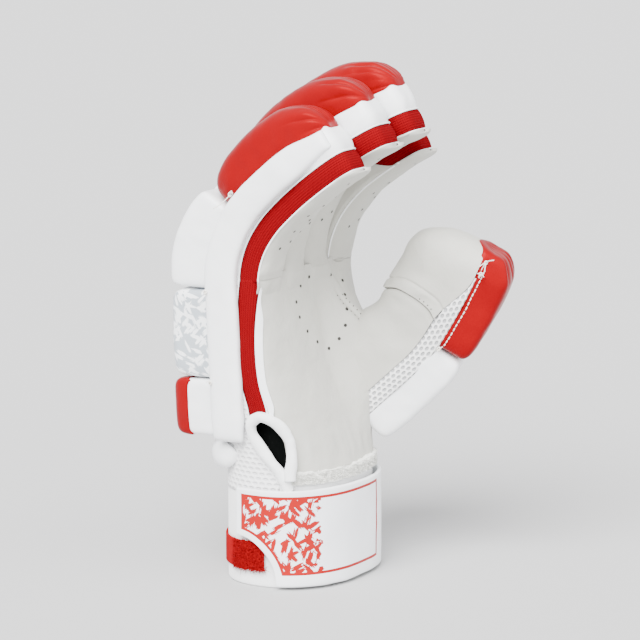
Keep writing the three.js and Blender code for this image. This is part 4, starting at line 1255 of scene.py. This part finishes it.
# %% Thumb pads
PAD_SUNK = 2.8  # how deep the pads sit in the mesh, so that no gap shows
thumb_skin = dome(84, 38, 22)
for name, finish, slot, start, end, stands in (
    ("thumb_base_pad_foam", white_leather, "white_leather", -0.05, 0.49, "thumb_base_pad"),
    ("thumb_tip_pad_foam", red_leather, "red_leather", 0.49, 1.03, "thumb_tip_pad"),
):
    u, v, w = rounded(thumb_skin[0], 9.0).T
    low, high = start * THUMB_LENGTH + PAD_GROOVE / 2, end * THUMB_LENGTH - PAD_GROOVE / 2
    s = (low + high) / 2 + u * (high - low) / 2
    half = np.minimum(smooth(THUMB_AT, THUMB_WIDE, s / THUMB_LENGTH) * THUMB_WIDTH / 2, THUMB_WIDTH / 2)
    narrow = 1 - 0.22 * ease(0.9, 1.03, s / THUMB_LENGTH)
    angle = np.arctan2(w, v)
    pleat = np.abs(np.sin(6.5 * angle + 0.8 * np.sin(2 * angle + 1)))
    deep = ease(0.74, 0.97, (u + 1) / 2) * (end > 1)
    size = 1 - 0.14 * deep * (1 - pleat**0.6)
    lower = 1 - 0.25 * ease(0.92, 1.03, s / THUMB_LENGTH)
    tall = THUMB_PAD * (1 + 0.08 * (1 - v**2) * (1 - u**4)) * size * lower
    s = s + 1.8 * ease(0.96, 1.02, s / THUMB_LENGTH) * ease(0.5, 0.1, w) * (1 - v**2)
    tuck = 1 - 0.05 * np.exp(-((w / 0.07) ** 2))
    dip = 4 * ease(0.95, 1.02, s / THUMB_LENGTH) * (1 - w) * (1 - v**2) ** 3
    b = THUMB_MESH - PAD_SUNK - dip + (tall + PAD_SUNK + 0.1) * w
    points = thumb.at(s, v * half * narrow * tuck, b)
    pad = show(name, points, thumb_skin[1], finish, [stands])
    sculpt(pad, lambda p: 0.5 * lumps(p, 15, 31) + 0.2 * lumps(p, 5, 32))
# The cloth inside the thumb shows at the tip, where the pad and the shell meet.
inner_skin = dome(30, 20, 8)
u, v, w = rounded(inner_skin[0], 2.0).T
points = thumb.at(0.925 * THUMB_LENGTH + 11 * u, 12.3 * v, THUMB_MESH - 4.5 + 4 * w)
show("thumb_tip_lining", points, inner_skin[1], towelling)
print("thumb seam, mm from the root:", np.round(seam_s(np.array([0, 1.5, 3.1]))))

# %% [markdown]
# ## Stitches, holes and loose threads
# The palm has a ring of punched air holes over the hollow of the hand and a double row of needle holes
# beside the thumb's seam. A running stitch holds the red thumb pad, and a few thread ends are tied off
# at the pads, as they are on hand-finished gloves.

# %% Holes in the palm
AIR_HOLES = (
    (0.3, 97.2), (8.8, 98.2), (19.3, 96.6), (27.1, 92.6), (23.8, 85.7), (20.2, 78.3), (16.6, 69.9),
    (12.9, 63.0), (7.6, 58.6), (-1.3, 63.5), (-8.3, 70.1), (-13.6, 78.3), (-14.9, 86.4), (-9.2, 94.1),
)
AIR_HOLE, FINGER_HOLE, NEEDLE_HOLE = 0.95, 0.82, 0.36
on_palm = lambda x, z: np.array([x, float(palm_surface(x, z)) - 2, z])
holes("palm_air_holes", palm, [on_palm(x, WRIST_Z + high) for x, high in AIR_HOLES], AIR_HOLE)
seam_up = np.linspace(0.24, 0.84, 30)
seam_x = np.interp(seam_up, PALM_SEAM_UP, PALM_SEAM_X)
places = [
    on_palm(x + side, WRIST_Z + PALM_HEIGHT * up) for up, x in zip(seam_up, seam_x) for side in (-1.5, 1.6)
]
holes("palm_needle_holes", palm, places, NEEDLE_HOLE)

# %% Holes under the fingers and along the thumb's seam
FINGER_HOLES = ((0.26, -4.5), (0.3, 3.5), (0.4, -1), (0.5, 4.5), (0.56, -4), (0.66, 1), (0.9, -2))
for finger in fingers.values():
    places = [finger.at(share * finger.length, a, -PALM_TO_KNIT - 4) for share, a in FINGER_HOLES]
    holes(f"{finger.name}_air_holes", undersides[finger.name], places, FINGER_HOLE)
needle_turns = np.linspace(0.06, 2.2, 26)
places = [thumb_point(seam_s(turn) + 1.7, turn) for turn in needle_turns]
holes("thumb_needle_holes", thumb_leather, places, NEEDLE_HOLE)

# %% Running stitches
tip_pad = bpy.data.objects["thumb_tip_pad_foam"]
edge_s = np.linspace(0.51, 0.97, 80) * THUMB_LENGTH
edge = thumb.at(edge_s, thumb_half(edge_s) + 2, THUMB_MESH + 2.2)
stitches("thumb_pad_stitches", tip_pad, edge, long=1.9, gap=0.9, thick=0.34)


# %% Loose ends
def loose_ends(place, facing, along, seed, count=4, long=6.0):
    """Thread ends that are tied at a place and curl away from it."""
    random = np.random.default_rng(seed)
    lines = []
    for _ in range(count):
        way = along * random.normal() + facing * 0.3 + 0.5 * random.normal(size=3)
        curl = random.normal(size=3)
        t = np.linspace(0, 1, 12)[:, None]
        bent = t * way + 0.5 * t**2 * curl
        line = place + long * random.uniform(0.5, 1.1) * bent / 1.3 + facing * (0.4 + 1.2 * t)
        lines.append((line, 0.27, np.tile(facing + 0.01 * curl, (12, 1))))
    turn = np.linspace(0, 4 * math.pi, 30)[:, None]
    other = np.cross(facing, along)
    knot = place + facing * 0.5 + 1.0 * np.cos(turn) * along + 0.7 * np.sin(turn) * other
    knot = knot + 0.3 * np.sin(2.5 * turn) * facing
    lines.append((knot, 0.32, np.tile(facing, (30, 1))))
    return lines


tied = []
for finger, s, a, b, seed in (
    (little, CAP_START * little.length + 4.0, -little.half - 1.0, STRIP_TOP + 2.5, 1),
    (little, -0.06 * PALM_HEIGHT, -little.half - 3.0, STRIP_TOP + 0.3, 2),
    (little, -0.53 * PALM_HEIGHT, -little.half - 3.0, STRIP_TOP + 0.3, 3),
    (thumb, 0.985 * THUMB_LENGTH, 12.5, THUMB_MESH + 1.0, 4),
    (thumb, 0.93 * THUMB_LENGTH, 15.2, THUMB_MESH + 1.0, 5),
    (thumb, 0.5 * THUMB_LENGTH, 15.8, THUMB_MESH + 0.6, 6),
):
    place = finger.at(s, a, b)
    facing = finger.at(s, a * 2, b) - place
    facing /= np.linalg.norm(facing)
    along = finger.at(s + 1, a, b) - place
    if finger is little:
        under = "little_cap_leather" if seed == 1 else "side_strip_leather"
        place = touch(bpy.data.objects[under], [place + 8 * facing], 0.3)[0][0]
    count, long = (2, 3.0) if seed in (2, 3, 6) else (4, 5.0)
    tied += loose_ends(place, facing, along, seed, count, long)
tubes("tied_threads", tied, thread, 6)
print("thread ends:", len(tied))

# %% [markdown]
# ## The wrist
# The cuff is an oval band with the strap round it. A wall round the oval is one grid whose rows follow
# a profile with round edges, so the band, the towelling, the loop patch and the strap differ only in
# profile and finish.

# %% Walls round the cuff
def cuff_point(z, turn, grow):
    """Places round the cuff's oval, grown outwards."""
    section = hand_section(0)
    half, depth = CUFF_WIDTH / 2 + grow, CUFF_DEPTH / 2 + grow
    section.update(z=z, half=half, palm=CUFF_BACK - depth, back=CUFF_BACK + depth)
    return on_section(section, turn)


def slab_profile(inner, thick, steps=30):
    """Out and share of the height, round a flat slab with round edges, from its inner face and back."""
    face = np.linspace(0.02, 0.98, steps)
    turn = np.linspace(0, math.pi, 7)
    rise, fall = thick * (1 - np.cos(turn)) / 2, thick * (1 + np.cos(turn)) / 2
    out = inner + np.concatenate([rise, np.full(steps - 2, thick), fall])
    level = np.concatenate([0.02 - 0.02 * np.sin(turn), face[1:-1], 0.98 + 0.02 * np.sin(turn)])
    return out, level


def cuff_slab(turns, low, high, inner, thick, closed=False):
    """A wall round the cuff between two heights, with its faces and its cloth coordinates."""
    out, level = slab_profile(inner, thick)
    z = low[:, None] + (high - low)[:, None] * level
    rows = cuff_point(z, turns[:, None] + 0 * z, out[None] + 0 * z)
    travelled = (turns - turns[0])[:, None] * girth + 0 * z
    faces, row, column = grid(*z.shape, closed=True)
    count = z.shape[1]
    ends = [] if closed else [list(range(count)), list(range(z.size - count, z.size))]
    return rows, [*faces.tolist(), *ends], np.stack([travelled, z], -1)[row, column]


def end_cloth(cloth, faces):
    """Coordinates for the two end faces, which have more corners than a quad."""
    corners = sum(len(face) for face in faces) - cloth.reshape(-1, 2).shape[0]
    return np.vstack([cloth.reshape(-1, 2), np.zeros((corners, 2))])


def wrist_piece(name, first, last, count, low, high, inner, thick, finish, stands_for, closed=False):
    """A piece round the cuff that has level edges."""
    turns = np.linspace(first, last, count)
    low, high = np.full(count, float(low)), np.full(count, float(high))
    rows, faces, cloth = cuff_slab(turns, low, high, inner, thick, closed)
    return show(name, rows, faces, finish, stands_for, end_cloth(cloth, faces))


# %% Cuff band, towelling and loop patch
wrist_piece(
    "cuff_band_cloth", 0, 1, 160, 0.0, CUFF_HEIGHT, -CUFF_WALL, CUFF_WALL, rolled_tape,
    ["cuff_band"], closed=True
)
terry_first, TERRY_LAST = float(turn_at(hand_section(0), 3.2 * KNIT_HALF)), 0.56
terry = wrist_piece(
    "towelling_strip", terry_first, TERRY_LAST, 120, CUFF_HEIGHT - 0.6, WRIST_Z + 0.6, -3.0, 4.4, towelling,
    ["terry_edge"]
)
sculpt(terry, lambda p: 0.5 * lumps(p, 3.0, 3) + 0.3 * lumps(p, 1.4, 4))
patch = wrist_piece(
    "loop_patch_base", 0.72, 1.02, 80, PATCH_FOOT, PATCH_FOOT + PATCH_HEIGHT, GAP, 1.0, loop_pile,
    ["loop_patch"]
)

# %% [markdown]
# ### Piles of thread
# Towelling and loop tape are covered by many thousands of short loops. Some 2600 bent spikes on each,
# leaning every way, give the same fuzzy edge for far fewer triangles.

# %% Spikes
def pile(name, places, facing, length, thick, finish, seed, lean):
    """Bent three-sided spikes on a surface."""
    random = np.random.default_rng(seed)
    count = len(places)
    tilt = random.normal(size=(count, 3))
    tilt -= facing * (tilt * facing).sum(1, keepdims=True)
    long = length * random.uniform(0.6, 1.3, (count, 1))
    side = np.cross(facing, tilt)
    side /= np.linalg.norm(side, axis=1, keepdims=True)
    front = np.cross(side, facing)
    bases = [
        places - 0.3 * facing + thick * (math.cos(t) * side + math.sin(t) * front) for t in (0, 2.1, 4.2)
    ]
    bend = places + long * (0.6 * facing + 0.25 * lean * tilt)
    mids = [bend + 0.7 * thick * (math.cos(t) * side + math.sin(t) * front) for t in (0, 2.1, 4.2)]
    tips = places + long * (facing * 0.75 + lean * tilt)
    points = np.stack([*bases, *mids, tips], 1).reshape(-1, 3)
    spike = [
        face for k, n in ((0, 1), (1, 2), (2, 0)) for face in ([k, n, 3 + n, 3 + k], [3 + k, 3 + n, 6])
    ]
    faces = [[point + 7 * i for point in face] for i in range(count) for face in spike]
    return show(name, points, faces, finish)


random = np.random.default_rng(3)
TUFTS = 2600
turns = random.uniform(0.93, 1.022, TUFTS)
heights = random.uniform(PATCH_FOOT - 0.3, PATCH_FOOT + PATCH_HEIGHT + 0.3, TUFTS)
places, facing = touch(patch, [cuff_point(z, t, GAP + PATCH_WALL + 1) for z, t in zip(heights, turns)])
pile("loop_patch_tufts", places, facing, 1.6, 0.24, loop_pile, 4, 0.9)
turns = random.uniform(terry_first, TERRY_LAST, TUFTS)
heights = random.uniform(CUFF_HEIGHT, WRIST_Z, TUFTS)
places, facing = touch(terry, [cuff_point(z, t, 3.0) for z, t in zip(heights, turns)])
pile("towelling_loops", places, facing, 1.2, 0.28, towelling, 5, 0.5)
print("tufts:", 2 * TUFTS)

# %% [markdown]
# ## The strap
# The strap is the same slab with a foot that rises at its free end: that is the scooped corner.

# %% Strap
STRAP_STANDS = 2.5  # how much its soft upper edge stands above the plain strap
strap_long = (STRAP_SEWN - STRAP_FREE) * girth
travelled = np.concatenate([np.linspace(0, STRAP_NOTCH, 70), np.linspace(STRAP_NOTCH, strap_long, 190)[1:]])
scoop = STRAP_NOTCH * np.sqrt(np.clip(1 - (travelled / STRAP_NOTCH) ** 2, 0, 1))
low, high = STRAP_FOOT + scoop, np.full(len(travelled), STRAP_FOOT + STRAP_HEIGHT)
sag = 0.7 * np.sin(travelled / 31.0) - 0.4 * np.sin(travelled / 13.0 + 1)
rows, faces, cloth = cuff_slab(
    STRAP_FREE + travelled / girth, low + 0.2 * sag, high + STRAP_STANDS + 0.5 * sag, STRAP_INSIDE,
    STRAP_WALL
)
strap = show(
    "wrist_strap_leather", rows, faces, strap_print, ["wrist_strap"],
    end_cloth(cloth, faces)
)
sculpt(strap, lambda p: 0.5 * lumps(p, 22, 3) + 0.15 * lumps(p, 7, 8))
print("strap, mm long:", round(travelled[-1]))

# %% Roll across the back of the wrist
ROLL_MIDDLE, ROLL_TALL, ROLL_THICK = 6.0, 17.0, 8.6
turns = np.linspace(0.655, 0.935, 90)
full = np.clip(1 - np.abs(2 * (turns - turns[0]) / (turns[-1] - turns[0]) - 1) ** 6, 0.03, 1) ** 0.5
angle = np.linspace(0, 2 * math.pi, 36, endpoint=False)
rows = []
for turn, size in zip(turns, full):
    ups = (ROLL_MIDDLE + ROLL_TALL / 2 * size * np.sin(angle)) / PALM_HEIGHT
    outs = ROLL_THICK / 2 * size * (1 + np.cos(angle)) - 0.2
    rows.append([on_section(hand_section(up), turn, out) for up, out in zip(ups, outs)])
roll = show(
    "wrist_roll_padding", rows, tube_faces(len(turns), len(angle)), white_leather,
    ["wrist_roll"]
)
sculpt(roll, lambda p: 0.5 * lumps(p, 12, 5) + 0.25 * lumps(p, 5, 6))

# %% [markdown]
# ## Binding round the slit
# The slit at the little-finger side lets the hand in. Its edge is wrapped in a soft rolled tape, and
# behind it a black sheet is painted shade for the dark hollow of the hand.

# %% Binding
BINDING = (
    (-0.09, 3.0), (-0.02, 2.55), (0.06, 1.45), (0.13, 0.3), (0.2, -0.6), (0.262, -0.65), (0.295, 0.35),
    (0.27, 1.6), (0.195, 2.55), (0.09, 3.0), (-0.03, 3.1)
)
steps = np.linspace(0, len(BINDING) - 1, 200)
ups, outs = (smooth(range(len(BINDING)), column, steps) for column in zip(*BINDING))
lifted = 2.4 * ease(7.5, 10, steps) + 1.2
turns = [turn_at(hand_section(up), out * KNIT_HALF) for up, out in zip(ups, outs)]
path = np.array([on_section(hand_section(up), turn, lift) for up, turn, lift in zip(ups, turns, lifted)])
outer = [on_section(hand_section(up), turn, lift + 5) for up, turn, lift in zip(ups, turns, lifted)]
rings = tube(path, 3.0 * (1 - 0.08 * np.cos(steps * 3)), 2.6, np.array(outer) - path, 28)
binding = show(
    "slit_rolled_binding", rings, tube_faces(*rings.shape[:2]), rolled_tape,
    ["slit_binding"]
)
sculpt(binding, lambda p: 0.35 * lumps(p, 6, 7) + 0.15 * lumps(p, 2.4, 8))

# %% Painted shade behind the slit
shade_rows = [
    on_section(hand_section(up), np.linspace(-0.05, 0.2, 40), -6.5) for up in np.linspace(-0.02, 0.36, 40)
]
show("slit_black_lining", shade_rows, grid(40, 40)[0], slit_shade)
print("binding, mm long:", round(float(np.linalg.norm(np.diff(path, axis=0), axis=1).sum())))

# %% [markdown]
# ## Studio
# A pale floor that runs far back, one large soft light from the upper left, a weaker one from the right
# and a pale sky around. The camera stands where the photographer stood: level with the glove's middle
# and 10 degrees up, at the side of the little finger.

# %% Floor
floor_finish, tree, shader = new_finish("pale_paper", 0.9)
shader.inputs["Base Color"].default_value = colour("#B4B4B4")
floor_mesh = bpy.data.meshes.new("floor")
floor_mesh.from_pydata([(-20, -20, 0), (20, -20, 0), (20, 20, 0), (-20, 20, 0)], [], [(0, 1, 2, 3)])
floor_mesh.materials.append(floor_finish)
floor = bpy.data.objects.new("floor", floor_mesh)
bpy.context.scene.collection.objects.link(floor)
floor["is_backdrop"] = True

# %% Lights
world = bpy.data.worlds.new("pale_sky")
world.use_nodes = True
world.node_tree.nodes["Background"].inputs["Color"].default_value = colour("#E6E6E8")
world.node_tree.nodes["Background"].inputs["Strength"].default_value = 1.7
bpy.context.scene.world = world


def soft_light(name, towards, strength, spread):
    """A distant light. A wide spread makes it as soft as a large window, and it lights the floor evenly."""
    data = bpy.data.lights.new(name, "SUN")
    data.energy, data.angle = strength, math.radians(spread)
    light = bpy.data.objects.new(name, data)
    light.rotation_euler = Vector(towards).to_track_quat("-Z", "Y").to_euler()
    light.location = (0, 0, 2)
    bpy.context.scene.collection.objects.link(light)


soft_light("key", (0.75, 0.1, -0.75), 11.0, 45)
soft_light("front", (0.3, 0.9, -0.45), 2.6, 70)

# %% Camera
AZIMUTH, ELEVATION, DISTANCE = math.radians(-60), math.radians(10), 1.8
SEEN = 0.3392  # the width of the picture at the glove, in metres
camera_right = np.array([math.cos(AZIMUTH), math.sin(AZIMUTH), 0])
level = math.cos(ELEVATION)
camera_back = np.array([math.sin(AZIMUTH) * level, -math.cos(AZIMUTH) * level, math.sin(ELEVATION)])
camera_up = np.cross(camera_back, camera_right)
target = SHIFT * MM + (0, 0, 0.135) + camera_right * 0.00901 + camera_up * 0.0006
camera_data = bpy.data.cameras.new("camera")
camera_data.sensor_width = 36
camera_data.lens = camera_data.sensor_width * DISTANCE / SEEN
camera = bpy.data.objects.new("camera", camera_data)
camera.location = Vector(target + camera_back * DISTANCE)
camera.rotation_euler = Vector(camera_back).to_track_quat("Z", "Y").to_euler()
bpy.context.scene.collection.objects.link(camera)
bpy.context.scene.camera = camera

# %% Sizes and finish
low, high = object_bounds()
print("visual model, metres:", [round(v, 4) for v in (*low, *high)])
